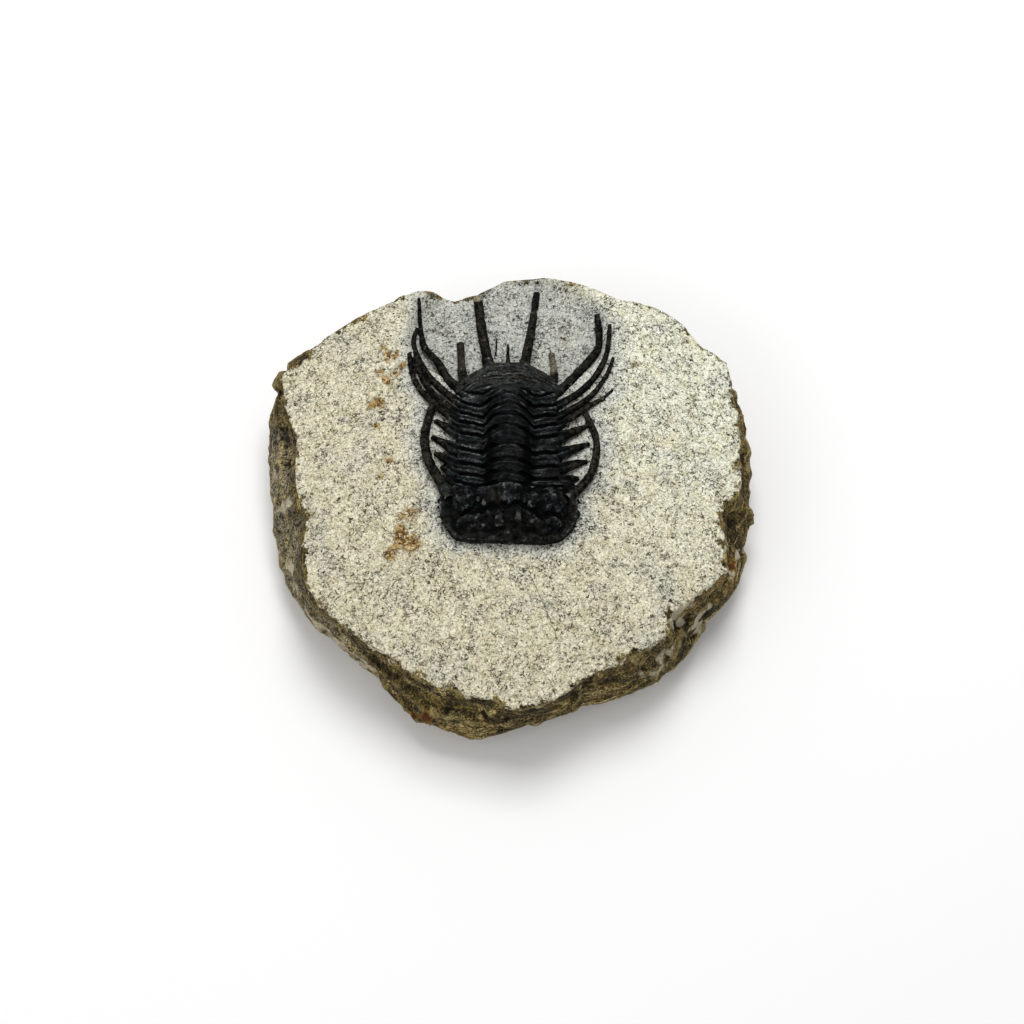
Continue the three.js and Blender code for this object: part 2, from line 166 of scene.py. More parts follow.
def blurred(tree, value, rounds, kind="FLOAT_VECTOR"):
    wanted = {"Value": value, "Iterations": rounds}
    return put(tree, "GeometryNodeBlurAttribute", wanted, data_type=kind).outputs[0]


# How far the surface stands out of its own smoothed form.
def standing(tree, place, normal, rounds):
    lift = calcVector(tree, "SUBTRACT", place, blurred(tree, place, rounds)).outputs[0]
    return calcVector(tree, "DOT_PRODUCT", lift, normal).outputs["Value"]


# Turns what the modifiers give into the piece's own plain mesh.
def settle(piece):
    bpy.context.view_layer.update()
    graph = bpy.context.evaluated_depsgraph_get()
    shaped = bpy.data.meshes.new_from_object(
        piece.evaluated_get(graph), preserve_all_data_layers=True, depsgraph=graph
    )
    piece.modifiers.clear()
    rough = piece.data
    piece.data = shaped
    bpy.data.meshes.remove(rough)


def runTree(piece, tree, values):
    modifier = piece.modifiers.new(tree.name, "NODES")
    modifier.node_group = tree
    for item in tree.interface.items_tree:
        if item.in_out == "INPUT" and item.name in values:
            modifier[item.identifier] = values[item.name]
    settle(piece)


def newPiece(name, points, edges=(), faces=()):
    mesh = bpy.data.meshes.new(name)
    mesh.from_pydata([tuple(p) for p in points], list(edges), list(faces))
    piece = bpy.data.objects.new(name, mesh)
    bpy.context.scene.collection.objects.link(piece)
    return piece


def store(piece, name, values):
    attribute = piece.data.attributes.new(name, "FLOAT", "POINT")
    attribute.data.foreach_set("value", np.asarray(values, np.float32))


def pointsOf(piece):
    flat = np.zeros(len(piece.data.vertices) * 3, np.float32)
    piece.data.vertices.foreach_get("co", flat)
    return flat.reshape(-1, 3)


# Closed mesh through rings of points, with a fan at each end.
def loftFaces(ringCount, count):
    faces = []
    for r in range(ringCount - 1):
        for i in range(count):
            j = (i + 1) % count
            faces.append((r * count + i, r * count + j, (r + 1) * count + j, (r + 1) * count + i))
    first = ringCount * count
    last = (ringCount - 1) * count
    for i in range(count):
        j = (i + 1) % count
        faces.append((first, j, i))
        faces.append((first + 1, last + i, last + j))
    return faces


def loft(name, rings):
    rings = np.asarray(rings, float)
    points = [*rings.reshape(-1, 3), rings[0].mean(0), rings[-1].mean(0)]
    piece = newPiece(name, points, faces=loftFaces(len(rings), len(rings[0])))
    bm = bmesh.new()
    bm.from_mesh(piece.data)
    bmesh.ops.recalc_face_normals(bm, faces=bm.faces)
    bm.to_mesh(piece.data)
    bm.free()
    return piece


# Millimetres to the frame's metres, then the piece takes its place on the part.
def finishPiece(piece, node):
    piece.data.transform(Matrix.Scale(0.001, 4) @ Matrix.Translation(middle))
    piece.data.polygons.foreach_set("use_smooth", [True] * len(piece.data.polygons))
    piece.data.update()
    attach(piece, "root")
    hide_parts(node)
    piece.data.calc_loop_triangles()
    print(piece.name, "triangles", len(piece.data.loop_triangles))


def easing(value, low, high):
    t = np.clip((value - low) / (high - low), 0, 1)
    return t * t * (3 - 2 * t)


def bell(value, width):
    return np.exp(-(value / width) ** 2)


# The same with a flatter middle and steeper flanks.
def plateau(value, width):
    return np.exp(-(value / width) ** 4)


# One from the end of the first stretch to the start of the second, nought outside them.
def between(value, start, end):
    return easing(value, *start) * (1 - easing(value, *end))


# Stone. Its tables are the solid's own: angle and distance of the cleaned face's edge and of the girdle.
edgeCorners = np.array([
    (0, 32.3), (8, 33.2), (16, 34.2), (26, 36), (34, 38.2), (40, 36.6), (50, 37.2), (56, 36.8),
    (63, 35), (73, 35.1), (82, 35.4), (92, 35), (99, 33.2), (105, 33), (113, 35.4), (124, 35.8),
    (134, 37), (144, 37.8), (150, 39), (156, 36.4), (164, 32.4), (178, 31), (187, 29.5), (192, 30),
    (200, 31.5), (206, 32), (216, 31.3), (226, 30.3), (238, 29.6), (247, 30.7), (256, 30.3), (266, 30.9),
    (272, 32.2), (278, 31.6), (288, 29.9), (297, 28.9), (309, 30), (316, 30.3), (321, 28.7), (329, 30),
    (339, 32.4), (348, 30.6), (354, 30),
])
girdleCorners = np.array([
    (0, 35.6), (4, 34.7), (15, 36.9), (25, 38), (34, 39.2), (50, 38.4), (63, 36.4), (82, 36.6),
    (102, 34.6), (113, 36.6), (134, 38.8), (146, 41), (155, 39.4), (165, 37.4), (176, 35.4), (187, 34.7),
    (198, 34.4), (209, 33), (219, 31.2), (230, 30.8), (240, 32), (250, 33.5), (260, 33.7), (270, 31.9),
    (280, 30.7), (290, 30.4), (300, 31.4), (310, 32.7), (322, 32.3), (331, 32.3), (342, 34.2), (353, 34.7),
])
girdleHeights = np.array([
    (0, 5), (60, 7), (120, 8), (146, 10.5), (172, 6), (230, 4.5), (290, 5), (340, 5.5),
])
stoneForm = {
    "turns": 720, "faceRows": 84, "sideRows": 34, "footRows": 8, "innerShare": 0.24,
    "crownHeight": 18.5, "crownY": 6, "fallAcross": 0.003, "fallFront": 0.003, "fallBack": 0.0016,
    "footShare": 0.87, "undercutShare": 0.955, "undercutHeight": 1.6,
    "ledgeKnots": 26, "ledgeHeights": (0.3, 0.65), "ledgeReaches": (0.2, 1.2), "ledgeBlend": 0.05, "seed": 11,
    "footAt": [0, 0.6, 1], "wellPast": 30.0,
}
# Two dug places: the hollow under the tail spines and the shallow trench around the body.
hollow = {
    "x": -0.4, "y": 25.6, "halfWidth": 15.6, "halfLength": 10.8, "depth": 2.3, "floor": 0.82, "lip": 1.02,
}
trench = {
    "x": -0.5, "y": 3.5, "halfWidth": 12.8, "halfLength": 14.6, "depth": 0.5, "floor": 0.92, "lip": 1.16,
}


def dugShare(place, x, y):
    reach = np.hypot((x - place["x"]) / place["halfWidth"], (y - place["y"]) / place["halfLength"])
    return 1 - easing(reach, place["floor"], place["lip"])


def faceHeight(x, y):
    fall = np.where(y < stoneForm["crownY"], stoneForm["fallFront"], stoneForm["fallBack"])
    dome = stoneForm["crownHeight"] - stoneForm["fallAcross"] * x * x - fall * (y - stoneForm["crownY"]) ** 2
    dug = [place["depth"] * dugShare(place, x, y) for place in (hollow, trench)]
    return dome - np.maximum(*dug)


# Trilobite. Stations along the body: y, half width, half width of the axis, base line, then the heights
# of margin, side lobe and axis above it.
axisX = -0.5
bodyStations = np.array([
    (-8.7, 5.6, 2.4, 17.9, 0.8, 0.9, 1), (-8.3, 7.1, 2.6, 17.9, 0.8, 1.2, 1.5),
    (-7.6, 8.1, 2.6, 18, 0.8, 1.5, 2), (-6.4, 9, 2.5, 18, 0.8, 1.8, 2.4),
    (-4.6, 9.7, 2.4, 18.1, 0.8, 2, 2.6), (-2.6, 9.7, 2.6, 18.3, 0.8, 2.1, 2.8),
    (-0.9, 9.3, 3.2, 18.4, 0.7, 1.9, 2.8), (0.2, 8.7, 3.5, 18.4, 0.6, 1.9, 3),
    (4, 8.6, 3.6, 18.4, 0.6, 1.9, 3.2), (8, 8.5, 3.6, 18.4, 0.6, 1.9, 3.2),
    (10.5, 8.3, 3.3, 18.3, 0.6, 1.9, 3.1), (12.5, 8.1, 2.8, 18.2, 0.6, 1.9, 2.9),
    (14.2, 7.9, 2.1, 18, 0.6, 1.8, 2.5), (16.2, 7.1, 1.2, 17.6, 0.6, 1.6, 1.9),
    (17.6, 6.1, 0.6, 17.3, 0.6, 1.3, 1.4), (18.6, 5, 0.4, 17.1, 0.6, 1.1, 1.2),
    (19.5, 3.6, 0.3, 16.9, 0.6, 0.9, 1), (20.2, 2, 0.3, 16.7, 0.6, 0.7, 0.8),
])
halfWidth, axisHalfWidth, baseLine, marginHeight, lobeHeight, axisHeight = 1, 2, 3, 4, 5, 6

# Ribs: where each one leaves the furrow beside the axis, left and right.
ribRows = [
    (-1, -1.2), (0.6, 0.1), (2.2, 2), (4.4, 4.1), (6.9, 6.6),
    (8.6, 8.3), (10, 9.9), (11.8, 11.6), (13.7, 13.4),
]
# Each rib's spine: thickness at root and tip, then the points that it runs through.
ribSpines = {
    -1: [
        (0.66, 0.3, [(-9.4, 1.3)]), (0.84, 0.3, [(-10.1, 3.1)]), (0.92, 0.32, [(-11.1, 5.3)]),
        (0.94, 0.32, [(-11.5, 7.9)]), (0.88, 0.32, [(-11.1, 10.5)]),
        (0.6, 0.34, [(-11.4, 13), (-13.5, 15.6), (-14.6, 18.6), (-15, 21.6)]),
        (0.55, 0.34, [(-11, 14.1), (-12.6, 16.4), (-13.7, 19.1), (-14.2, 22)]),
        (0.58, 0.3, [(-10.4, 15.5), (-12.4, 18), (-13.9, 21.5), (-14.5, 24.4), (-14, 26.8)]),
        (0.78, 0.28, [(-9.3, 17.2), (-11, 20.6), (-12.8, 23.3), (-13.5, 26.6), (-13.8, 31.2)]),
    ],
    1: [
        (0.66, 0.28, [(8.9, -0.1)]), (0.78, 0.28, [(9.5, 1.3)]), (0.86, 0.3, [(10.8, 4)]),
        (0.9, 0.3, [(11.1, 6.8)]), (0.86, 0.32, [(10.7, 9.5)]),
        (0.5, 0.2, [(10.4, 11.9), (11.6, 12.9), (13.1, 13.9), (14.6, 15.5)]),
        (0.52, 0.24, [(10.9, 13.6), (12.9, 16.2), (14.2, 18.9), (14.8, 20.9)]),
        (0.58, 0.32, [(9.8, 14.8), (12.3, 17.8), (13.9, 21.8), (14.4, 26.8)]),
        (0.76, 0.48, [(8.6, 16.9), (10.6, 19.6), (12.5, 22.6), (12.9, 25.4), (12.6, 29)]),
    ],
}
ribForm = {
    "furrowReach": 3.6, "furrowWidth": 0.5, "furrowDepth": 0.25,
    "furrowFrom": (-1.2, 0), "furrowTo": (13, 16),
    "grooveWidth": 0.3, "grooveDepth": 0.55, "grooveEnd": (0.9, 1), "seamWidth": 0.26, "seamDepth": 0.26,
    "gapWidth": 0.7, "gapDepth": 2.4, "gapShare": (0.82, 0.94), "gapFrom": (-0.9, 0), "gapTo": (14, 15),
    "sweepPower": 1.7, "sweepEnd": 1.2, "bendRows": [0, 4, 9, 14], "bendReach": [0.5, 0.9, 1.8, 2.3],
    "strengthAt": [0, 1.3, 1.9, 3], "strength": [0.35, 0.45, 1.1, 1], "lineStep": 0.52, "lineReach": 0.035,
    "flankReach": 2.7, "flankWidth": 0.8, "thoraxFrom": (-1.5, -0.7), "thoraxTo": (13.8, 15.6),
}
# Rows of the tail plate and the waves that break them into stretches.
tailForm = {
    "curve": 0.05, "step": 0.8, "reach": 0.1, "start": (14, 15.4), "breakLevel": 0.6, "breakSwing": 0.4,
    "breakAcross": 1.9, "breakAlong": 2.7, "breakBend": 3, "bendAcross": 0.8,
}
# Slight unevenness of all rows: reach, turns across and along, and start of each wave.
rowWaves = [(0.06, 1.7, 0.9, 0), (0.03, 3.9, -2.1, 1)]
lobeFall = (0.55, 1)  # shares of the half width between which the side lobe falls to the margin
# Swellings of the head: x, y, half width, half length and height.
headLobes = [
    (-6.8, -3, 1.9, 1.9, 0.8), (-3.7, -2.6, 1.6, 1.9, 0.6), (-0.4, -2, 2, 2.1, 0.75),
    (2.8, -3.2, 1.5, 1.35, 0.75), (2.7, -0.9, 0.8, 0.7, 0.65), (5.7, -3.1, 1.9, 2.1, 0.85),
    (-3.9, -3.8, 0.45, 0.5, 0.9), (-4.7, -3.3, 0.4, 0.5, 0.9), (2.8, -6.3, 0.6, 0.55, 0.75),
    (-5.6, -6, 2.1, 0.75, 0.6), (-4.8, -7.2, 2, 0.6, 0.45), (5.8, -6.2, 1.5, 0.75, 0.6),
    (3.2, -6.4, 1.4, 1.2, 0.45), (0.9, -6.2, 0.55, 1.5, 0.55), (-1.9, -6.1, 0.8, 1.4, 0.55),
    (4.8, -7.3, 1.5, 0.5, 0.4), (-0.5, -7.6, 0.9, 0.5, 0.35),
]
headForm = {
    "back": -0.7, "furrowY": -4, "furrowDrop": 1.2, "furrowFrom": 1.5, "furrowTo": 5.5, "furrowWidth": 0.36,
    "furrowDepth": 0.48, "skew": 0.03, "rimAt": 0.5, "rimWidth": 0.4, "rimHeight": 0.08,
    "ditchAt": 1.3, "ditchWidth": 0.4, "ditchDepth": 0.25,
    "backBlend": 0.5, "lobePower": 0.75, "furrowEnd": (0.72, 0.88),
    "frontTo": (-6, -2), "frontWaves": [(0.14, 1.1, 0.6), (0.1, 2.6, 0)],
    "fringeCount": 9, "fringeFirst": -6.6, "fringeLast": -2.2, "fringeLengths": (-0.1, 0.75),
    "fringeJitter": 0.2, "fringeInset": 0.5, "fringeLean": 0.1, "fringeFall": 0.3,
    "fringeRoot": 0.34, "fringeTip": 0.12, "fringeHeight": 0.35, "seed": 3,
}
cheekSpines = {
    "routes": [[(-8.8, -2.4), (-10.5, 1), (-11.9, 4), (-12.5, 8), (-11.5, 12.5)],
               [(7.8, -2.4), (9.9, -0.3), (11.5, 2.6), (12.1, 7), (10.6, 11.5)]],
    "rootHeight": 19.3, "roots": [0.9, 0.8], "tips": [0.6, 0.46],
}
tailSpines = [
    ([(-2.9, 17.2), (-3.2, 18.8), (-3.7, 21.6), (-4.5, 26.6), (-5.1, 32.2)], 1.02, 0.66),
    ([(1.5, 17.2), (1.7, 18.8), (2.1, 21.6), (2.9, 26.6), (3.7, 33)], 1.02, 0.52),
    ([(-6.8, 16), (-7.1, 17.4), (-7.4, 20.4), (-7.6, 24.2)], 0.84, 0.55),
    ([(5.8, 16), (6.1, 17.4), (6.1, 19.8), (5.8, 22.4)], 0.8, 0.46),
    ([(-0.6, 18.4), (-0.6, 21), (-0.6, 24)], 0.6, 0.2),
    ([(-2.4, 22), (-2.3, 23.8), (-2.4, 25.6)], 0.2, 0.12),
]
# How spines lie: height of the middle above the stone as a share of its radius, the share of the length after
# which it has come down, share of the half width and sink of a rib spine's roots, and sink of a tail spine's.
spineForm = {"rest": 0.5, "landing": 0.9, "roots": ((0.82, 1.2), (0.93, 0.7)), "tailSink": 0.7}


def station(y, column):
    return np.interp(y, bodyStations[:, 0], bodyStations[:, column])


# The line that a rib follows across the back, given by its distance from the axis.
def ribLine(index, sign, reach):
    form = ribForm
    left, right = ribRows[index]
    own = left if sign < 0 else right
    row = (left + right) / 2 + (own - (left + right) / 2) * easing(reach, 0, form["furrowReach"])
    firstX, firstY = ribSpines[sign][index][2][0]
    outer = abs(firstX - axisX) - form["furrowReach"]
    along = np.clip((reach - form["furrowReach"]) / outer, 0, form["sweepEnd"])
    sweep = (firstY - own) * along ** form["sweepPower"]
    bend = np.interp(own, form["bendRows"], form["bendReach"])
    return row + sweep + bend * np.clip(1 - (reach / form["furrowReach"]) ** 2, 0, 1)


# Keeps the rows from running quite straight.
def ripple(x, y):
    return sum(reach * np.sin(across * x + along * y + start) for reach, across, along, start in rowWaves)


def fromEachRib(x, y):
    reach = np.abs(x - axisX)
    place = y + ripple(x, y)
    sides = [(ribLine(i, -1, reach), ribLine(i, 1, reach)) for i in range(len(ribRows))]
    return np.array([place - np.where(x < axisX, left, right) for left, right in sides])


# Rows of the tail plate follow its rear margin.
def tailArc(x, y):
    return y + tailForm["curve"] * (x - axisX) ** 2 + ripple(x, y)


def tailWave(arc):
    return np.sin(2 * np.pi * arc / tailForm["step"])


# Distances to the nearest rib line and to the one after it.
def fromRibs(x, y):
    ordered = np.sort(np.abs(fromEachRib(x, y)), axis=0)
    return ordered[0], ordered[1]


def onThorax(y):
    return between(y, ribForm["thoraxFrom"], ribForm["thoraxTo"])


# Plain form of the back, before ribs and swellings.
def backForm(x, y):
    reach = np.abs(x - axisX)
    share = reach / station(y, halfWidth)
    fall = easing(share, *lobeFall)
    lobe = station(y, lobeHeight) * (1 - fall) + station(y, marginHeight) * fall
    arch = np.clip(1 - (reach / station(y, axisHalfWidth)) ** 2, 0, 1)
    return station(y, baseLine) + lobe + (station(y, axisHeight) - lobe) * arch


# The rows of the tail plate are broken into stretches.
def tailBreaks(x, y):
    form = tailForm
    bend = form["breakBend"] * np.sin(form["bendAcross"] * x)
    wave = np.sin(form["breakAcross"] * x + form["breakAlong"] * y + bend)
    return form["breakLevel"] + form["breakSwing"] * wave


def ribRelief(x, y):
    form = ribForm
    reach = np.abs(x - axisX)
    share = reach / station(y, halfWidth)
    first, second = fromRibs(x, y)
    strength = np.interp(reach, form["strengthAt"], form["strength"]) * onThorax(y)
    groove = form["grooveDepth"] * plateau(first, form["grooveWidth"])
    groove = groove * (1 - easing(share, *form["grooveEnd"]))
    seam = form["seamDepth"] * bell(second - first, form["seamWidth"])
    furrow = bell(reach - station(y, axisHalfWidth), form["furrowWidth"])
    furrow = furrow * between(y, form["furrowFrom"], form["furrowTo"])
    gap = easing(share, *form["gapShare"]) * (1 - bell(first, form["gapWidth"]))
    gap = gap * between(y, form["gapFrom"], form["gapTo"])
    arc = tailArc(x, y)
    tail = tailForm["reach"] * tailBreaks(x, y) * tailWave(arc) * easing(arc, *tailForm["start"])
    lines = form["lineReach"] * np.sin(2 * np.pi * arc / form["lineStep"]) * onThorax(y)
    return tail + lines - strength * (groove + seam) - form["furrowDepth"] * furrow - form["gapDepth"] * gap


def headRelief(x, y):
    form = headForm
    reach = np.abs(x - axisX)
    width = station(y, halfWidth)
    share = reach / width
    onHead = 1 - easing(y, form["back"] - form["backBlend"], form["back"])
    lobes = np.zeros(x.shape)
    for lobeX, lobeY, halfX, halfY, height in headLobes:
        inside = np.clip(1 - ((x - lobeX) / halfX) ** 2 - ((y - lobeY) / halfY) ** 2, 0, 1)
        lobes = np.maximum(lobes, height * inside ** form["lobePower"])
    furrowLine = form["furrowY"] - form["furrowDrop"] * easing(reach, form["furrowFrom"], form["furrowTo"])
    furrow = bell(y + ripple(x, y) - furrowLine, form["furrowWidth"])
    furrow = furrow * (1 - easing(share, *form["furrowEnd"]))
    fromEdge = np.minimum((1 - share) * width, y - bodyStations[0, 0])
    rim = form["rimHeight"] * bell(fromEdge - form["rimAt"], form["rimWidth"])
    ditch = form["ditchDepth"] * bell(fromEdge - form["ditchAt"], form["ditchWidth"])
    return onHead * (lobes - form["furrowDepth"] * furrow + rim - ditch)


trunkForm = {
    "across": 161, "along": 250, "floorFront": 17.0, "floorSlope": 0.0836, "floorBand": 0.04,
    "leastHeight": 0.2, "voxel": 0.125, "keptFaces": 0.68,
}


def trunkFloor(y):
    return trunkForm["floorFront"] - trunkForm["floorSlope"] * (y - bodyStations[0, 0])


def makeTrunk():
    shares = np.linspace(-1, 1, trunkForm["across"])
    rings = []
    for y in np.linspace(bodyStations[0, 0], bodyStations[-1, 0], trunkForm["along"]):
        x = axisX + shares * station(y, halfWidth)
        row = np.full(x.shape, y)
        floor = trunkFloor(y)
        top = backForm(x, row) + ribRelief(x, row) + headRelief(x, row)
        z = np.maximum(top, floor + trunkForm["leastHeight"])
        uneven = sum(reach * np.sin(turn * x + start) for reach, turn, start in headForm["frontWaves"])
        row = row + (headForm["skew"] * (axisX - x) + uneven) * (1 - easing(y, *headForm["frontTo"]))
        rings.append([(x[0], row[0], floor), *zip(x, row, z), (x[-1], row[-1], floor)])
    return loft("trunk", rings)


# Points of a spine with its thickness, coming down from its root to lie half sunk on the stone.
def layDown(route, rootHeight, root, tip):
    points = []
    for i, (x, y) in enumerate(route):
        along = (i + 1) / len(route)
        radius = root + (tip - root) * along
        rest = float(faceHeight(x, y)) + spineForm["rest"] * radius
        fall = float(easing(along, 0, spineForm["landing"]))
        points.append((x, y, rootHeight + (rest - rootHeight) * fall, radius))
    return points


def ribSpine(index, sign):
    root, tip, route = ribSpines[sign][index]
    points = []
    for share, sink in spineForm["roots"]:
        reach = share * float(station(ribRows[index][0], halfWidth))
        y = float(ribLine(index, sign, reach))
        x = axisX + sign * reach
        points.append((x, y, float(backForm(x, y)) - sink * root, root))
    return points + layDown(route, points[-1][2], root, tip)


def fringeBars():
    form = headForm
    chance = np.random.default_rng(form["seed"])
    bars = []
    for sign in (-1, 1):
        for place in np.linspace(form["fringeFirst"], form["fringeLast"], form["fringeCount"]):
            y = place + chance.uniform(-1, 1) * form["fringeJitter"]
            edge = float(station(y, halfWidth))
            z = float(station(y, baseLine)) + form["fringeHeight"]
            reach = edge + chance.uniform(*form["fringeLengths"])
            root = (axisX + sign * (edge - form["fringeInset"]), y, z, form["fringeRoot"])
            tip = (axisX + sign * reach, y - form["fringeLean"], z - form["fringeFall"], form["fringeTip"])
            bars.append([root, tip])
    return bars


# Kept on the fused skin for its colour: the dark lines of the back, painted shade in the rib grooves, along
# the axis's flanks and in the troughs of the tail's rows, how far along the body a place lies when its rib is
# laid straight, which places are spines and which are the head's rim.
fossilMarks = {
    "lineWidth": 0.3, "lineFlank": 0.12, "flankShade": 0.4, "flankFrontShade": 0.4, "flankEnd": (5, 9),
    "rowWidth": (0.1, 0.7), "rowFrom": (0.2, 0.6), "rowTo": (17.2, 19.2), "rowShade": 0.9,
    "bodyShare": 1.02, "axisReach": (2.2, 3.8), "axisFrom": (-0.8, 0.4), "axisTo": (11, 16), "flowEnd": 14.5,
    "spineShare": (0.96, 1.06), "spineTail": (20, 20.6), "spineFrom": (-2.6, -1.2), "rimDark": 0.55,
    "rimAt": 0.2, "rimWidth": 0.5, "rimTo": (-3.5, -1.5), "cheekSteps": 60, "cheekReach": (0.8, 1.2),
}


def markFossil(piece):
    form = fossilMarks
    x, y = pointsOf(piece).T[:2]
    reach = np.abs(x - axisX)
    width = station(y, halfWidth)
    share = reach / width
    offsets = fromEachRib(x, y)
    nearest = np.argmin(np.abs(offsets), axis=0)
    offset = np.take_along_axis(offsets, nearest[None], 0)[0]
    strength = np.interp(reach, ribForm["strengthAt"], ribForm["strength"]) * onThorax(y)
    flank = bell(reach - ribForm["flankReach"], ribForm["flankWidth"]) * onThorax(y)
    # Painted shade: dark along the rib grooves, and on the axis's flanks, more so towards the front.
    dark = strength * plateau(offset, form["lineWidth"] + form["lineFlank"] * flank)
    dark = dark + flank * (form["flankShade"] + form["flankFrontShade"] * (1 - easing(y, *form["flankEnd"])))
    arc = tailArc(x, y)
    # Painted shade in the troughs of the tail's rows.
    tailRow = easing(-tailWave(arc), *form["rowWidth"]) * tailBreaks(x, y)
    tailRow = tailRow * easing(offsets[-1], *form["rowFrom"]) * (1 - easing(arc, *form["rowTo"]))
    dark = np.maximum(dark, form["rowShade"] * tailRow)
    store(piece, "line", np.where(share < form["bodyShare"], dark, 0))
    onAxis = 1 - easing(reach, *form["axisReach"])
    store(piece, "axis", onAxis * between(y, form["axisFrom"], form["axisTo"]))
    rows = np.mean(ribRows, axis=1)
    store(piece, "flow", np.where(y < form["flowEnd"], rows[nearest] + offset, arc))
    outside = np.maximum(easing(share, *form["spineShare"]), easing(y, *form["spineTail"]))
    store(piece, "spine", outside * easing(y, *form["spineFrom"]))
    fromEdge = np.minimum((1 - share) * width, y - bodyStations[0, 0])
    rim = form["rimDark"] * bell(fromEdge - form["rimAt"], form["rimWidth"]) * (1 - easing(y, *form["rimTo"]))
    for route in cheekSpines["routes"]:
        steps = np.linspace(0, len(route) - 1, form["cheekSteps"])
        line = [np.interp(steps, range(len(route)), values) for values in zip(*route)]
        apart = np.min([np.hypot(x - lineX, y - lineY) for lineX, lineY in zip(*line)], axis=0)
        rim = np.maximum(rim, 1 - easing(apart, *form["cheekReach"]))
    store(piece, "rim", rim)


def allBars():
    bars = fringeBars()
    for sign in (-1, 1):
        bars += [ribSpine(index, sign) for index in range(len(ribRows))]
    for route, root, tip in zip(cheekSpines["routes"], cheekSpines["roots"], cheekSpines["tips"]):
        bars.append(layDown(route, cheekSpines["rootHeight"], root, tip))
    for route, root, tip in tailSpines:
        x, y = route[0]
        if y < bodyStations[-1, 0]:
            rootHeight = float(backForm(x, y)) - spineForm["tailSink"] * root
        else:
            rootHeight = float(faceHeight(x, y))
        bars.append(layDown(route, rootHeight, root, tip))
    return bars


def makeBars(bars):
    points, edges, thickness = [], [], []
    for bar in bars:
        start = len(points)
        points += [p[:3] for p in bar]
        thickness += [p[3] for p in bar]
        edges += [(i, i + 1) for i in range(start, len(points) - 1)]
    piece = newPiece("bars", points, edges)
    store(piece, "thickness", thickness)
    return piece


def makeBarTree():
    tree, given = newTree("taperedBars", {
        "Sides": "Int", "Step": "Float", "waverSize": "Float", "waverReach": "Float", "Material": "Material",
    })
    curve = put(tree, "GeometryNodeMeshToCurve", {0: given["Geometry"]}).outputs[0]
    smooth = put(tree, "GeometryNodeCurveSplineType", {"Curve": curve}, spline_type="CATMULL_ROM").outputs[0]
    byLength = {"Curve": smooth, "Length": given["Step"]}
    even = put(tree, "GeometryNodeResampleCurve", byLength, mode="LENGTH").outputs[0]
    place = put(tree, "GeometryNodeInputPosition").outputs[0]
    waver = swing(tree, place, given["waverSize"], given["waverReach"])
    size = times(tree, named(tree, "thickness"), plus(tree, 1.0, waver))
    outline = {"Resolution": given["Sides"], "Radius": 1.0}
    section = put(tree, "GeometryNodeCurvePrimitiveCircle", outline).outputs[0]
    solid = put(tree, "GeometryNodeCurveToMesh", {
        "Curve": even, "Profile Curve": section, "Scale": size, "Fill Caps": True,
    }).outputs[0]
    closeTree(tree, solid, given["Material"])
    return tree


def makeTubercleTree():
    tree, given = newTree("tubercles", {
        "Spacing": "Float", "Density": "Float", "Smallest": "Float", "Largest": "Float", "lastY": "Float",
        "leastUp": "Float", "Seed": "Int", "Material": "Material",
    })
    place = put(tree, "ShaderNodeSeparateXYZ", {0: put(tree, "GeometryNodeInputPosition").outputs[0]}).outputs
    facing = put(tree, "ShaderNodeSeparateXYZ", {0: put(tree, "GeometryNodeInputNormal").outputs[0]}).outputs
    onHead = calc(tree, "LESS_THAN", place[1], given["lastY"])
    chosen = times(tree, onHead, calc(tree, "GREATER_THAN", facing[2], given["leastUp"]))
    dots = put(tree, "GeometryNodeDistributePointsOnFaces", {
        "Mesh": given["Geometry"], "Selection": chosen, "Distance Min": given["Spacing"],
        "Density Max": given["Density"], "Seed": given["Seed"],
    }, distribute_method="POISSON").outputs[0]
    sizes = {2: given["Smallest"], 3: given["Largest"], "Seed": given["Seed"]}
    size = put(tree, "FunctionNodeRandomValue", sizes).outputs[1]
    ball = put(tree, "GeometryNodeMeshIcoSphere", {"Radius": 1.0, "Subdivisions": 2}).outputs[0]
    grown = put(tree, "GeometryNodeInstanceOnPoints", {
        "Points": dots, "Instance": ball, "Scale": size,
    }).outputs[0]
    both = tree.nodes.new("GeometryNodeJoinGeometry")
    tree.links.new(grown, both.inputs[0])
    tree.links.new(given["Geometry"], both.inputs[0])
    closeTree(tree, both.outputs[0], given["Material"])
    return tree


# One closed skin around everything.
def fuse(name, pieces, voxel):
    bm = bmesh.new()
    for piece in pieces:
        bm.from_mesh(piece.data)
        bpy.data.objects.remove(piece)
    mesh = bpy.data.meshes.new(name)
    bm.to_mesh(mesh)
    bm.free()
    whole = bpy.data.objects.new(name, mesh)
    bpy.context.scene.collection.objects.link(whole)
    remesh = whole.modifiers.new("fuse", "REMESH")
    remesh.mode = "VOXEL"
    remesh.voxel_size = voxel
    settle(whole)
    return whole


# Fewer faces where the skin is plain, the same form.
def thin(piece, share):
    fewer = piece.modifiers.new("thin", "DECIMATE")
    fewer.ratio = share
    settle(piece)


# Makes few large faces of the hidden flat underside.
def flattenUnderside(piece):
    bm = bmesh.new()
    bm.from_mesh(piece.data)
    band = trunkForm["floorBand"]
    under = [f for f in bm.faces if all(v.co.z < trunkFloor(v.co.y) + band for v in f.verts)]
    bmesh.ops.dissolve_faces(bm, faces=under, use_verts=True)
    bmesh.ops.triangulate(bm, faces=[f for f in bm.faces if len(f.verts) > 4])
    bm.to_mesh(piece.data)
    bm.free()


# Where the head's rougher skin ends, and how far round a place its standing out is measured.
fossilBands = {
    "brow": (-5.2, -3.6, 0.5, 0.0), "nape": (-2.0, -0.6, 0.5, 0.0), "crestRounds": 8, "broadRounds": 60,
}


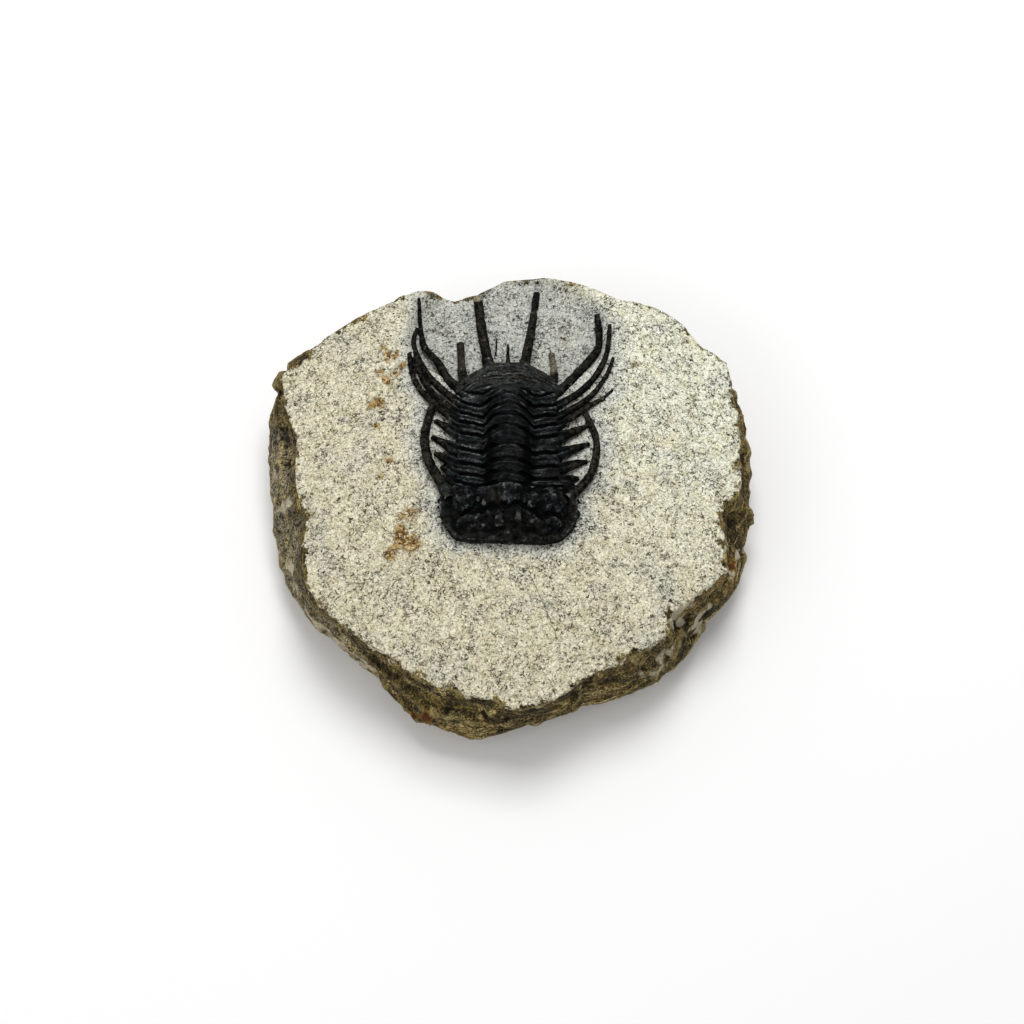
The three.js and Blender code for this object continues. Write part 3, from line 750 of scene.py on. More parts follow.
def makeFossilTree():
    bands = fossilBands
    tree, given = newTree("fossilRelief", {
        "Smoothing": "Int", "roughSize": "Float", "roughReach": "Float", "headReach": "Float",
        "grainSize": "Float", "grainReach": "Float", "Material": "Material",
    })
    place = put(tree, "GeometryNodeInputPosition").outputs[0]
    normal = put(tree, "GeometryNodeInputNormal").outputs[0]
    y = put(tree, "ShaderNodeSeparateXYZ", {0: place}).outputs[1]
    smooth = put(tree, "GeometryNodeSetPosition", {
        "Geometry": given["Geometry"], "Position": blurred(tree, place, given["Smoothing"]),
    }).outputs[0]
    onHead = plus(tree, spread(tree, y, *bands["brow"]), spread(tree, y, *bands["nape"]))
    rough = plus(tree, given["roughReach"], times(tree, onHead, given["headReach"]))
    grain = swing(tree, place, given["grainSize"], given["grainReach"], 2.0)
    reach = plus(tree, swing(tree, place, given["roughSize"], rough, 3.0), grain)
    moved = put(tree, "GeometryNodeSetPosition", {
        "Geometry": smooth, "Offset": scaled(tree, normal, reach),
    }).outputs[0]
    marked = keep(tree, moved, "crest", standing(tree, place, normal, bands["crestRounds"]))
    marked = keep(tree, marked, "broad", standing(tree, place, normal, bands["broadRounds"]))
    marked = keep(tree, marked, "up", put(tree, "ShaderNodeSeparateXYZ", {0: normal}).outputs[2])
    closeTree(tree, marked, given["Material"])
    return tree


# Colours of the fossil; pale and the palest one also serve as painted highlights on the high places.
fossilColours = {
    "deep": (0.0004, 0.0004, 0.0005, 1), "black": (0.0012, 0.0015, 0.0015, 1),
    "slate": (0.012, 0.0150, 0.0156, 1), "pale": (0.062, 0.070, 0.069, 1), "scuffAndHighlight": (0.17, 0.17, 0.15, 1),
    "brown": (0.021, 0.0188, 0.0132, 1), "umber": (0.037, 0.0335, 0.0245, 1),
    "dust": (0.06, 0.056, 0.044, 1), "cream": (0.36, 0.32, 0.22, 1),
}
# Worn spines: place, half size and strength of each bare stretch.
wornSpines = [(5.9, 21.4, 1.3, 3.2, 0.45), (-7.4, 21.8, 1.3, 3.4, 0.06), (-5.1, 32.2, 1.0, 1.2, 0.9)]
# Clouds of colour: size in millimetres, detail, roughness and warp, then the limits of the tint.
fossilClouds = {
    "brown": ((2.2, 3.0, 0.6), (0.5, 0.7, 0.0, 0.4)), "olive": ((0.8, 4.0, 0.7), (0.48, 0.62, 0.0, 0.5)),
    "dust": ((0.7, 5.0, 0.75), (0.42, 0.6, 0.0, 0.7)),
    "pepper": ((0.36, 4.0, 0.75, 0.5), (0.48, 0.57, 0.0, 0.9)),
    "fleck": ((0.9, 5.0, 0.75), (0.6, 0.72, 0.0, 0.5)), "bare": ((0.6, 4.0, 0.7), (0.36, 0.56, 0.1, 0.95)),
    "gloss": ((0.6, 3.0), (0.3, 0.7, 0.4, 0.62)),
}
# Other clouds, the stretches of the body, the limits of other tints, how strongly each goes, and the surface.
fossilTints = {
    "blotch": (0.9, 5.0, 0.7, 0.6), "streak": (1.0, 3.0, 0.6), "mottle": (0.55, 5.0, 0.75, 0.4),
    "ragged": (0.7, 0.4, 3.0), "streakAlong": 0.4, "streakAcross": 2.4, "streakShare": 0.55,
    "thorax": (-1.6, -0.4), "front": (-5.6, -4.2), "tail": (13.5, 17.0), "sides": (-3.0, 3.0),
    # The painted highlight on places that stand out, and the painted light and shade of the head's swellings.
    "high": (0.0, 0.08, 0.0, 0.1), "headLightShade": (-0.08, 0.2, -0.14, 0.02),
    "tones": {"slate": (0.42, 0.56), "pale": (0.54, 0.66), "scuffAndHighlight": (0.62, 0.72)},
    "spineBrown": (0.46, 0.62, 0.0, 0.8), "spineDeep": (0.46, 0.4, 0.0, 0.9),
    "spineFlankShade": (0.05, 0.6, 0.4, 1.0),
    "ridgeTopLight": (0.5, 0.95), "ridge": (0.49, 0.6, 0.0, 0.65), "rim": (0.47, 0.62, 0.0, 0.75),
    "worn": (0.5, 1.1),
    "lines": (0.3, 0.7, 0.0, 0.98), "grooves": (-0.012, -0.05, 0.0, 0.97),
    "furrows": (-0.08, -0.35, 0.0, 0.9),
    "tailGain": 2.1, "leftGain": 1.15, "rightGain": 0.85, "axisGain": 0.45, "frontGain": 0.7,
    "specular": 0.03, "bump": 0.7, "bumpDepth": 0.00012,
}


def makeFossilMaterial():
    material, tree, shader = newMaterial("fossil")
    colour, tint = fossilColours, fossilTints
    inFrame = scaled(tree, put(tree, "ShaderNodeTexCoord").outputs["Object"], 1000.0)
    place = calcVector(tree, "SUBTRACT", inFrame, tuple(middle)).outputs[0]
    x, y = put(tree, "ShaderNodeSeparateXYZ", {0: place}).outputs[:2]
    crest, broad, up, isSpine = [mark(tree, name) for name in ("crest", "broad", "up", "spine")]

    def squareFrom(value, centre, half):
        return calc(tree, "POWER", calc(tree, "DIVIDE", calc(tree, "SUBTRACT", value, centre), half), 2.0)

    def clouded(name):
        return tinting(tree, place, fossilClouds[name])

    def over(base, name, amount):
        return mixColour(tree, amount, base, colour[name])

    # Black to slate in fine streaks along the ribs and in blotches, with painted highlights, pale and paler,
    # on the high places, and painted light and shade on the head's swellings.
    flow = put(tree, "ShaderNodeCombineXYZ", {
        0: times(tree, x, tint["streakAlong"]), 1: times(tree, mark(tree, "flow"), tint["streakAcross"]),
    }).outputs[0]
    blotch = cloud(tree, place, *tint["blotch"])
    streak = calc(tree, "SUBTRACT", cloud(tree, flow, *tint["streak"]), blotch)
    tone = plus(tree, blotch, times(tree, spread(tree, y, *tint["thorax"], 0.0, tint["streakShare"]), streak))
    # Painted highlight: places that stand out of the smoothed skin are made paler.
    tone = plus(tree, tone, spread(tree, crest, *tint["high"]))
    # Painted light and shade on the head: its broad swellings a little paler, its broad hollows darker.
    onHead = spread(tree, y, *tint["thorax"], 1.0, 0.0)
    tone = plus(tree, tone, times(tree, onHead, spread(tree, broad, *tint["headLightShade"])))
    body = colour["black"]
    for name, limits in tint["tones"].items():
        body = over(body, name, spread(tree, tone, *limits))
    body = shade(tree, body, spread(tree, y, *tint["tail"], 1.0, tint["tailGain"]))
    body = shade(tree, body, spread(tree, mark(tree, "axis"), 0.0, 1.0, 1.0, tint["axisGain"]))
    body = over(body, "brown", clouded("brown"))
    front = spread(tree, y, *tint["front"], 1.0, 0.0)
    body = over(body, "brown", times(tree, front, clouded("olive")))
    body = shade(tree, body, spread(tree, front, 0.0, 1.0, 1.0, tint["frontGain"]))
    # Tail: dust and fine dark pepper.
    onTail = spread(tree, y, *tint["tail"])
    body = over(body, "dust", times(tree, onTail, clouded("dust")))
    body = over(body, "deep", times(tree, onTail, clouded("pepper")))
    body = shade(tree, body, spread(tree, x, *tint["sides"], tint["leftGain"], tint["rightGain"]))
    # Spines: black, brown in blotches, umber along their upward-facing tops as dust and painted light,
    # painted shade on their sides, with flecks of stone, one short one worn to cream.
    mottle = cloud(tree, place, *tint["mottle"])
    spotted = over(colour["black"], "brown", spread(tree, blotch, *tint["spineBrown"]))
    ridge = times(tree, spread(tree, up, *tint["ridgeTopLight"]), spread(tree, mottle, *tint["ridge"]))
    spotted = over(spotted, "umber", ridge)
    # Painted shade: the sides of the spines that face away from above are darker.
    spotted = shade(tree, spotted, spread(tree, up, *tint["spineFlankShade"]))
    spotted = over(spotted, "deep", spread(tree, mottle, *tint["spineDeep"]))
    spotted = over(spotted, "cream", clouded("fleck"))
    body = mixColour(tree, isSpine, body, spotted)
    body = over(body, "umber", times(tree, mark(tree, "rim"), spread(tree, mottle, *tint["rim"])))
    bare = times(tree, isSpine, clouded("bare"))
    for wornX, wornY, halfX, halfY, strength in wornSpines:
        reach = plus(tree, squareFrom(x, wornX, halfX), squareFrom(y, wornY, halfY))
        body = over(body, "cream", times(tree, spread(tree, reach, *tint["worn"], strength, 0.0), bare))
    # Painted shade: the grooves, the broad hollows and the dark lines of the ribs are made deep black.
    line = plus(tree, mark(tree, "line"), swing(tree, place, *tint["ragged"]))
    for name, value in (("lines", line), ("grooves", crest), ("furrows", broad)):
        body = over(body, "deep", spread(tree, value, *tint[name]))
    closeMaterial(tree, shader, body, clouded("gloss"), tone, tint)
    return material


fossilBlack = makeFossilMaterial()
barSettings = {"Sides": 18, "Step": 0.25, "waverSize": 1.5, "waverReach": 0.3, "Material": fossilBlack}
tubercleSettings = {
    "Spacing": 2.1, "Density": 4.0, "Smallest": 0.1, "Largest": 0.22, "lastY": -0.8, "leastUp": 0.1,
    "Seed": 5, "Material": fossilBlack,
}
fossilRelief = {
    "Smoothing": 1, "roughSize": 1.0, "roughReach": 0.09, "headReach": 0.13, "grainSize": 0.42,
    "grainReach": 0.04, "Material": fossilBlack,
}

barPiece = makeBars(allBars())
runTree(barPiece, makeBarTree(), barSettings)
trunk = makeTrunk()
runTree(trunk, makeTubercleTree(), tubercleSettings)
trilobite = fuse("fossilSkin", [trunk, barPiece], trunkForm["voxel"])
flattenUnderside(trilobite)
markFossil(trilobite)
runTree(trilobite, makeFossilTree(), fossilRelief)
thin(trilobite, trunkForm["keptFaces"])
fossilPoints = pointsOf(trilobite)
finishPiece(trilobite, "trilobite")
print("trilobite done")


# The stone's own mesh, with how far each point lies past the rim of the cleaned face.
def makeStoneForm():
    form = stoneForm
    chance = np.random.default_rng(form["seed"])
    angle = np.arange(form["turns"]) * 360 / form["turns"]
    turn = np.radians(angle)
    heading = np.stack([np.cos(turn), np.sin(turn)], 1)
    edge = np.interp(angle, *edgeCorners.T, period=360)
    girdle = np.interp(angle, *girdleCorners.T, period=360)
    girdleZ = np.interp(angle, *girdleHeights.T, period=360)
    knots = np.arange(form["ledgeKnots"]) * 360 / form["ledgeKnots"]
    ledgeAt = np.interp(angle, knots, chance.uniform(*form["ledgeHeights"], len(knots)), period=360)
    ledgeReach = np.interp(angle, knots, chance.uniform(*form["ledgeReaches"], len(knots)), period=360)

    def ring(distance, z):
        return np.column_stack([heading * np.reshape(distance, (-1, 1)), np.broadcast_to(z, len(angle))])

    rings, side = [], []
    for share in np.linspace(form["innerShare"], 1, form["faceRows"]):
        flat = heading * (edge * share)[:, None]
        rings.append(np.column_stack([flat, faceHeight(*flat.T)]))
        side.append(edge * (share - 1))
    rim = rings[-1]
    for down in np.linspace(0, 1, form["sideRows"])[1:]:
        step = ledgeReach * (easing(down, ledgeAt - form["ledgeBlend"], ledgeAt + form["ledgeBlend"]) - down)
        distance = edge + (girdle - edge) * down + step
        z = rim[:, 2] + (girdleZ - rim[:, 2]) * down
        rings.append(ring(distance, z))
        side.append(np.hypot(distance - edge, z - rim[:, 2]))
    for down in np.linspace(0, 1, form["footRows"])[1:]:
        shares = np.interp(down, form["footAt"], [1, form["undercutShare"], form["footShare"]])
        z = np.interp(down, form["footAt"], [1, 0, 0]) * (girdleZ - form["undercutHeight"])
        z = z + np.interp(down, form["footAt"], [1, 1, 0]) * form["undercutHeight"]
        rings.append(ring(girdle * shares, z))
        side.append(np.full(len(angle), form["wellPast"]))
    piece = loft("matrixStone", rings)
    store(piece, "side", np.concatenate([*side, [-form["wellPast"], form["wellPast"]]]))
    return piece


# Marks on the stone: place and radius of each one, with its height where it isn't on the face.
stoneMarks = {
    "rust": [(-17.9, 21.2, 1.8), (-19.1, 18.4, 1.4), (-16.9, 18.3, 1.3), (-19.3, 13.9, 1.5),
             (-17.5, 4.2, 1.0), (-18.7, 1.8, 0.9), (-19.4, 9.9, 0.9),
             (-14.7, -4.1, 1.9), (-14.7, -7.9, 2.8), (-16.5, -9.2, 1.6)],
    "dark": [(6.3, 25.6, 2.2), (17.9, 19.8, 1.5), (17.9, 15.1, 1.3)],
    "patch": [(-34.5, 6.5, 9, 2.6), (-33.4, 3, 7, 2.4), (-31.6, -12.6, 9, 2.2), (23.6, -18.7, 12.5, 3.2),
              (26.5, -17.2, 8, 3.4), (20.8, -23.6, 10.5, 3.4), (32.9, -6.5, 8.5, 1.6), (31.4, -9.8, 11, 1.6),
              (-33, -0.3, 11, 2.2), (-32.4, -8.6, 8.5, 2.4), (-27.2, -16.6, 6, 4), (-24.5, -19.8, 6, 4.2),
              (-21, -23, 6, 4.2)],
    "blood": [(-12.2, -30.4, 7, 2.8), (32, -10, 9, 2.4)],
    "wash": [(-35, 6, 8, 9), (-33.5, -4, 7, 9), (-30.5, -13, 6, 9), (-25, -20, 5, 8)],
}
markForm = {"wander": 0.8, "turn": 1.5, "lean": (0.7, 0.8, -0.6), "start": (0, 1, 2), "noCrack": 9.0}
crackLine = np.array([(2.2, -13.1), (2.9, -14.1), (5.5, -20.2), (6.4, -22.7)])


# Bends places to and fro, so that round marks get wandering outlines.
def wandering(*place):
    form = markForm
    bent = []
    for i in range(3):
        turned = form["turn"] * (place[i - 1] + form["lean"][i] * place[i - 2]) + form["start"][i]
        bent.append(place[i] + form["wander"] * np.sin(turned))
    return bent


def markStone(piece):
    x, y, z = pointsOf(piece).T
    store(piece, "hollow", dugShare(hollow, x, y))
    bentX, bentY, bentZ = wandering(x, y, z)
    for name, spots in stoneMarks.items():
        strength = np.zeros(len(x))
        for *spot, radius in spots:
            spotZ = spot[2] if len(spot) > 2 else float(faceHeight(*spot))
            spotX, spotY, spotZ = wandering(*spot[:2], spotZ)
            apart = np.sqrt((bentX - spotX) ** 2 + (bentY - spotY) ** 2 + (bentZ - spotZ) ** 2)
            strength = np.maximum(strength, 1 - apart / radius)
        store(piece, name, np.maximum(strength, 0))
    offset = x - np.interp(-y, -crackLine[:, 1], crackLine[:, 0])
    beyond = np.maximum(crackLine[-1, 1] - y, y - crackLine[0, 1])
    store(piece, "crack", np.where(beyond > 0, markForm["noCrack"], offset))
    tree = KDTree(len(fossilPoints))
    for i, point in enumerate(fossilPoints):
        tree.insert(point, i)
    tree.balance()
    store(piece, "near", [tree.find(point)[2] for point in zip(x, y, z)])


# Where the broken side starts and ends, where the cleaned face ends, and how far round a place is measured.
stoneBands = {"rim": (-0.6, 1.0), "foot": (0.1, 2.2), "face": (-1.5, 0.3, 1.0, 0.0), "crestRounds": 5}


def makeStoneTree():
    bands = stoneBands
    tree, given = newTree("stoneRelief", {
        "faceSize": "Float", "faceReach": "Float", "pitSize": "Float", "pitReach": "Float",
        "facetSize": "Float", "facetTilt": "Float", "chipSize": "Float", "chipTilt": "Float",
        "lumpReach": "Float", "waveScale": "Float", "waveReach": "Float",
        "grainSize": "Float", "grainReach": "Float", "Material": "Material",
    })
    place = put(tree, "GeometryNodeInputPosition").outputs[0]
    normal = put(tree, "GeometryNodeInputNormal").outputs[0]
    side = named(tree, "side")
    z = put(tree, "ShaderNodeSeparateXYZ", {0: place}).outputs[2]
    broken = times(tree, spread(tree, side, *bands["rim"]), spread(tree, z, *bands["foot"]))
    cleaned = spread(tree, side, *bands["face"])

    grain = swing(tree, place, given["grainSize"], given["grainReach"], 2.0)
    pits = swing(tree, place, given["pitSize"], given["pitReach"], 3.0)
    faceSwing = plus(tree, swing(tree, place, given["faceSize"], given["faceReach"]), pits)
    waving = {"Vector": place, "Scale": given["waveScale"], "Detail": 2.0}
    wave = scaled(tree, put(tree, "ShaderNodeTexNoise", waving).outputs[1], given["waveReach"])
    waved = calcVector(tree, "ADD", place, wave).outputs[0]
    chips = facets(tree, waved, given["chipSize"], given["chipTilt"])
    breaks = plus(tree, facets(tree, waved, given["facetSize"], given["facetTilt"]), chips)
    lumps = swing(tree, place, given["chipSize"], given["lumpReach"], 4.0)
    sideSwing = plus(tree, blurred(tree, breaks, 1, "FLOAT"), plus(tree, lumps, grain))
    onFace = times(tree, plus(tree, faceSwing, grain), cleaned)
    reach = plus(tree, onFace, times(tree, sideSwing, broken))
    moved = put(tree, "GeometryNodeSetPosition", {
        "Geometry": given["Geometry"], "Offset": scaled(tree, normal, reach),
    }).outputs[0]
    marked = keep(tree, moved, "crest", standing(tree, place, normal, bands["crestRounds"]))
    closeTree(tree, marked, given["Material"])
    return tree


stoneColours = {
    "cream": (0.76, 0.72, 0.55, 1), "tan": (0.63, 0.575, 0.40, 1), "blue": (0.56, 0.575, 0.54, 1),
    "grey": (0.47, 0.48, 0.445, 1), "speck": (0.03, 0.027, 0.02, 1), "mote": (0.07, 0.05, 0.018, 1),
    "bright": (0.86, 0.83, 0.70, 1), "rust": (0.055, 0.022, 0.005, 1), "ochre": (0.36, 0.19, 0.02, 1),
    "brown": (0.044, 0.029, 0.007, 1), "drab": (0.17, 0.123, 0.036, 1), "black": (0.005, 0.0036, 0.0015, 1),
    "streak": (0.43, 0.335, 0.145, 1), "patch": (0.64, 0.57, 0.40, 1), "blood": (0.075, 0.015, 0.004, 1),
    "wash": (0.27, 0.245, 0.175, 1), "stain": (0.5, 0.33, 0.1, 1), "frontShadeTint": (0.96, 0.955, 0.925, 1),
    "rearLightTint": (1.15, 1.21, 1.26, 1), "whitest": (0.95, 0.95, 0.92),
}
# Clouds of colour and other tints, as for the fossil.
stoneClouds = {
    "tan": ((1.8, 5.0, 0.7), (0.4, 0.66)), "drift": ((6.0, 4.0, 0.65), (0.5, 0.68, 0.0, 0.38)),
    "crowd": ((3.0, 4.0, 0.6), (0.3, 0.7, 0.05, -0.04)),
    "glint": ((0.42, 2.0, 0.5, 0.5), (0.62, 0.7, 0.0, 0.8)),
    "stain": ((1.0, 5.0, 0.7), (0.34, 0.6, 0.0, 0.85)), "rust": ((0.6, 5.0, 0.7, 0.8), (0.47, 0.58)),
    "core": ((0.8, 3.0, 0.6), (0.38, 0.5)), "shadow": ((0.8, 3.0), (0.4, 0.62)),
    "rock": ((1.4, 6.0, 0.75), (0.36, 0.62)), "worn": ((3.2, 6.0, 0.7), (0.55, 0.63, 0.0, 0.6)),
    "zone": ((4.0, 4.0, 0.6, 0.6), (0.39, 0.61, 0.36, 1.55)),
    "wash": ((2.0, 6.0, 0.7), (0.34, 0.62, 0.1, 0.85)),
    "layer": ((1.5, 4.0, 0.65, 0.8), (0.52, 0.62)), "grit": ((0.3, 3.0, 0.7), (0.36, 0.64, 0.14, 2.2)),
    "chip": ((0.5, 4.0, 0.7, 0.6), (0.6, 0.66, 0.0, 0.7)),
    "pit": ((0.6, 4.0, 0.7, 0.8), (0.545, 0.6, 0.0, 0.95)),
    "matt": ((0.5,), (0.3, 0.7, 0.85, 0.98)),
}
stoneTints = {
    "across": (0.7, 0.7, 0.0), "acrossEnds": (-8.0, 32.0), "haloSwing": (1.6, 1.4, 3.0),
    "halo": (0.3, 3.2, 0.75, 0.0), "hollow": 0.8, "grain": (0.3, 3.0, 0.7, 0.4),
    "faceGrain": (0.3, 0.7, 0.6, 1.4),
    "close": (0.4, 3.5, 0.018, 0.0), "specks": (0.5, 3.0, 0.65, 1.2), "speckEdge": (0.594, 0.616, 0.0, 0.97),
    "dotFar": (1.0, 6.0), "holes": (1.0, 4.0, 0.6, 0.6), "holeCrowd": 0.5, "holeEdge": (0.66, 0.68, 0.0, 0.9),
    "hairs": [(1.1, 0.5), (0.75, 0.53)], "hairCloud": (3.0, 0.6), "hairWarp": 0.8, "hairStretch": 0.8,
    "hairBlend": 0.08, "hairWidth": (0.005, 0.02, 0.85, 0.0),
    "inRust": (0.0, 0.5), "ochre": 0.9, "thread": (0.9, 4.0, 0.65, 1.0),
    "threadWidth": (0.03, 0.075, 0.95, 0.0),
    "shadow": (0.1, 0.7, 0.0, 0.7), "crackSwing": (0.8, 0.25), "crackWidth": (0.03, 0.11, 0.75, 0.0),
    "inWash": (0.0, 0.5), "layers": (0.22, 0.22, 1.5), "lower": (3.0, 7.5, 0.2, 0.85),
    "hollowShade": (-0.03, -0.2, 0.0, 0.8), "crestLight": (0.04, 0.2, 0.0, 0.55),
    "patch": 1.1, "patchSwing": (2.0, 2.0, 7.0), "patchEdge": (0.3, 0.8, 0.0, 0.95), "inPatch": (0.0, 0.35),
    "patchGrain": (0.3, 0.7, 0.6, 1.3), "bloodSwing": (1.1, 1.0, 5.0), "inBlood": (0.0, 0.3),
    "bloodRim": (0.15, 0.6, 0.0, 0.6), "bloodCore": (0.4, 0.75, 0.0, 0.9), "bloodGrain": (0.3, 0.7, 0.3, 1.9),
    "ragged": [(1.2, 2.6, 7.0), (3.5, 2.2, 3.0), (0.4, 1.2, 2.0)], "meeting": (-0.25, 0.25),
    "speckHeight": (0.5, 0.64, 0.0, -0.8), "specular": 0.2, "bump": 0.9, "bumpDepth": 0.00022,
}


def makeStoneMaterial():
    material, tree, shader = newMaterial("limestone")
    colour, tint = stoneColours, stoneTints
    place = scaled(tree, put(tree, "ShaderNodeTexCoord").outputs["Object"], 1000.0)
    near, side, crest = [mark(tree, name) for name in ("near", "side", "crest")]

    def clouded(name):
        return tinting(tree, place, stoneClouds[name])

    def over(base, name, amount):
        return mixColour(tree, amount, base, colour[name])

    def narrow(value, limits):
        return spread(tree, calc(tree, "ABSOLUTE", value), *limits)

    # Cleaned face: cream with tan drifts, painted light making it whiter to the rear right, blue-grey where
    # the tool worked close.
    face = over(over(colour["cream"], "tan", clouded("tan")), "blue", clouded("drift"))
    # Painted light: the face is made whiter towards the rear right and a little darker towards the front
    # left.
    across = calcVector(tree, "DOT_PRODUCT", place, tint["across"]).outputs["Value"]
    paintedLight = over(colour["frontShadeTint"], "rearLightTint", spread(tree, across, *tint["acrossEnds"]))
    face = mixColour(tree, 1.0, face, paintedLight, "MULTIPLY")
    halo = plus(tree, near, swing(tree, place, *tint["haloSwing"]))
    face = over(face, "blue", spread(tree, halo, *tint["halo"]))
    face = over(face, "grey", times(tree, mark(tree, "hollow"), tint["hollow"]))
    # Grain, dark specks that crowd in places, and a few small holes.
    grain = cloud(tree, place, *tint["grain"])
    face = shade(tree, face, spread(tree, grain, *tint["faceGrain"]))
    crowd = calc(tree, "SUBTRACT", clouded("crowd"), spread(tree, near, *tint["close"]))
    speck = calc(tree, "SUBTRACT", cloud(tree, place, *tint["specks"]), crowd)
    dot = over(colour["speck"], "mote", spread(tree, halo, *tint["dotFar"]))
    face = mixColour(tree, spread(tree, speck, *tint["speckEdge"]), face, dot)
    hole = calc(tree, "SUBTRACT", cloud(tree, place, *tint["holes"]), times(tree, crowd, tint["holeCrowd"]))
    face = over(face, "speck", spread(tree, hole, *tint["holeEdge"]))
    # Hair cracks, short stretches of a wandering line, and a few bright crystals.
    for size, rarity in tint["hairs"]:
        wander = cloud(tree, place, size, *tint["hairCloud"], tint["hairWarp"])
        hair = narrow(calc(tree, "SUBTRACT", wander, 0.5), tint["hairWidth"])
        stretch = cloud(tree, place, tint["hairStretch"] * size, *tint["hairCloud"])
        stretch = spread(tree, stretch, rarity, rarity + tint["hairBlend"])
        face = mixColour(tree, times(tree, hair, stretch), face, dot)
    face = over(face, "bright", clouded("glint"))
    # Rust: an ochre stain with brown cores.
    inRust = spread(tree, mark(tree, "rust"), *tint["inRust"])
    face = over(face, "stain", times(tree, inRust, clouded("stain")))
    face = over(face, "ochre", times(tree, times(tree, inRust, clouded("rust")), tint["ochre"]))
    thread = calc(tree, "SUBTRACT", cloud(tree, place, *tint["thread"]), 0.5)
    rustCore = times(tree, inRust, narrow(thread, tint["threadWidth"]))
    face = over(face, "rust", times(tree, rustCore, clouded("core")))
    shadowed = times(tree, mark(tree, "dark"), clouded("shadow"))
    face = over(face, "drab", spread(tree, shadowed, *tint["shadow"]))
    crack = plus(tree, mark(tree, "crack"), swing(tree, place, *tint["crackSwing"]))
    face = over(face, "speck", narrow(crack, tint["crackWidth"]))

    # Broken sides: drab brown in darker and lighter zones, washed pale on the left, layered lower down, with
    # painted shade in the hollows and painted light on the standing edges.
    rock = over(over(colour["brown"], "drab", clouded("rock")), "streak", clouded("worn"))
    rock = shade(tree, rock, clouded("zone"))
    inWash = spread(tree, mark(tree, "wash"), *tint["inWash"])
    rock = over(rock, "wash", times(tree, inWash, clouded("wash")))
    layerPlace = calcVector(tree, "MULTIPLY", place, tint["layers"]).outputs[0]
    layers = tinting(tree, layerPlace, stoneClouds["layer"])
    rock = over(rock, "streak", times(tree, layers, spread(tree, side, *tint["lower"])))
    rock = shade(tree, rock, clouded("grit"))
    rock = over(over(rock, "streak", clouded("chip")), "black", clouded("pit"))
    # Painted shade in the rock's hollows and painted light on its standing edges.
    rock = over(rock, "black", spread(tree, crest, *tint["hollowShade"]))
    rock = over(rock, "streak", spread(tree, crest, *tint["crestLight"]))
    # Pale worn patches and two red-brown stains.
    patch, blood = mark(tree, "patch"), mark(tree, "blood")
    pale = plus(tree, times(tree, patch, tint["patch"]), swing(tree, place, *tint["patchSwing"]))
    pale = times(tree, spread(tree, pale, *tint["patchEdge"]), spread(tree, patch, *tint["inPatch"]))
    grained = shade(tree, colour["patch"], spread(tree, grain, *tint["patchGrain"]))
    rock = mixColour(tree, pale, rock, grained)
    red = plus(tree, blood, swing(tree, place, *tint["bloodSwing"]))
    red = times(tree, red, spread(tree, blood, *tint["inBlood"]))
    rock = over(rock, "ochre", spread(tree, red, *tint["bloodRim"]))
    grained = shade(tree, colour["blood"], spread(tree, grain, *tint["bloodGrain"]))
    rock = mixColour(tree, spread(tree, red, *tint["bloodCore"]), rock, grained)

    # The two meet along a ragged line at the rim.
    past = side
    for ragged in tint["ragged"]:
        past = plus(tree, past, swing(tree, place, *ragged))
    broken = spread(tree, past, *tint["meeting"])
    whole = calcVector(tree, "MINIMUM", mixColour(tree, broken, face, rock), colour["whitest"]).outputs[0]
    relief = plus(tree, grain, spread(tree, speck, *tint["speckHeight"]))
    relief = times(tree, relief, plus(tree, broken, 1.0))
    closeMaterial(tree, shader, whole, clouded("matt"), relief, tint)
    return material


limestone = makeStoneMaterial()
stoneRelief = {
    "faceSize": 6.0, "faceReach": 0.22, "pitSize": 1.2, "pitReach": 0.16, "facetSize": 5.0, "facetTilt": 0.34,
    "chipSize": 1.7, "chipTilt": 0.28, "lumpReach": 0.22, "waveScale": 0.35, "waveReach": 2.0,
    "grainSize": 0.6, "grainReach": 0.08, "Material": limestone,
}
stone = makeStoneForm()
markStone(stone)
runTree(stone, makeStoneTree(), stoneRelief)
finishPiece(stone, "matrix_stone")
print("stone done")


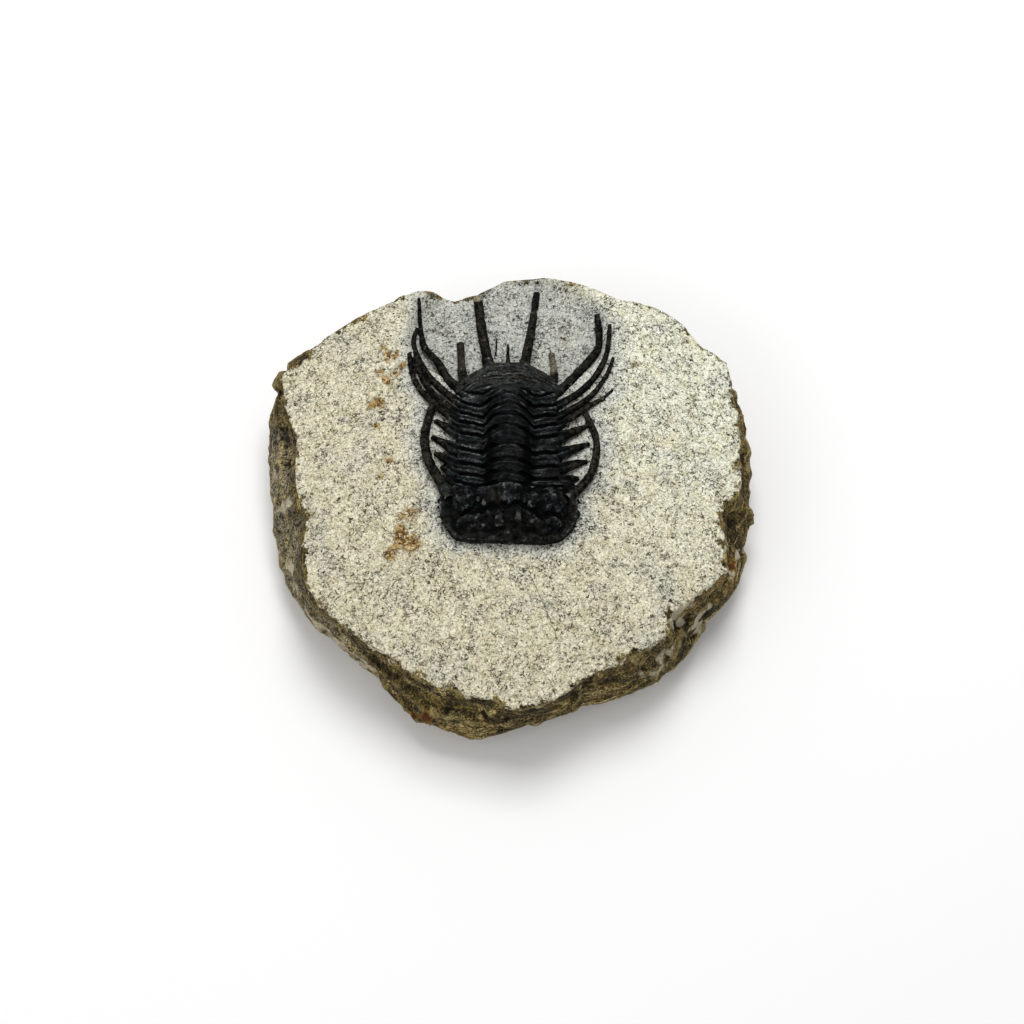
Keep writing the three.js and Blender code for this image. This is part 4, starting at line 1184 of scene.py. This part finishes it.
# Floor, light and camera.
stageForm = {
    "floor": (0.92, 0.92, 0.92, 1), "floorHalf": 3, "floorRough": 0.9,
    "world": (1, 1, 1, 1), "worldStrength": 0.5,
    "keyPower": 1.42, "keyPlace": (0.02, 0.18, 0.44), "keySize": 0.22,
    "fillPower": 0.38, "fillPlace": (-0.28, -0.24, 0.28), "fillSize": 0.3,
}
cameraForm = {
    "elevation": 66.0, "distance": 0.3, "target": (0.0, 0.0, 9.0),
    "lens": 72.42, "sensor": 36.0, "nearest": 0.01,
}


def makeStage():
    half = stageForm["floorHalf"]
    corners = [(-half, -half, 0), (half, -half, 0), (half, half, 0), (-half, half, 0)]
    floor = newPiece("floor", corners, faces=[(0, 1, 2, 3)])
    paper, _, shader = newMaterial("paper")
    shader.inputs["Base Color"].default_value = stageForm["floor"]
    shader.inputs["Roughness"].default_value = stageForm["floorRough"]
    floor.data.materials.append(paper)
    world = bpy.data.worlds.new("studio")
    world.use_nodes = True
    sky = world.node_tree.nodes["Background"]
    sky.inputs[0].default_value = stageForm["world"]
    sky.inputs[1].default_value = stageForm["worldStrength"]
    bpy.context.scene.world = world
    bpy.context.scene.view_settings.view_transform = "Standard"
    for name in ("key", "fill"):
        lamp = bpy.data.lights.new(name, "AREA")
        lamp.energy = stageForm[name + "Power"]
        lamp.size = stageForm[name + "Size"]
        light = bpy.data.objects.new(name, lamp)
        light.location = stageForm[name + "Place"]
        light.rotation_mode = "QUATERNION"
        light.rotation_quaternion = (-light.location).to_track_quat("-Z", "Y")
        bpy.context.scene.collection.objects.link(light)


def makeCamera():
    form = cameraForm
    camera = bpy.data.objects.new("camera", bpy.data.cameras.new("camera"))
    camera.data.lens = form["lens"]
    camera.data.sensor_width = form["sensor"]
    camera.data.clip_start = form["nearest"]
    rise = math.radians(form["elevation"])
    target = (Vector(form["target"]) + middle) * 0.001
    back = Vector((0, -math.cos(rise), math.sin(rise)))
    camera.location = target + back * form["distance"]
    camera.rotation_mode = "QUATERNION"
    camera.rotation_quaternion = (-back).to_track_quat("-Z", "Y")
    bpy.context.scene.collection.objects.link(camera)
    bpy.context.scene.camera = camera


makeStage()
makeCamera()
print("stage done")
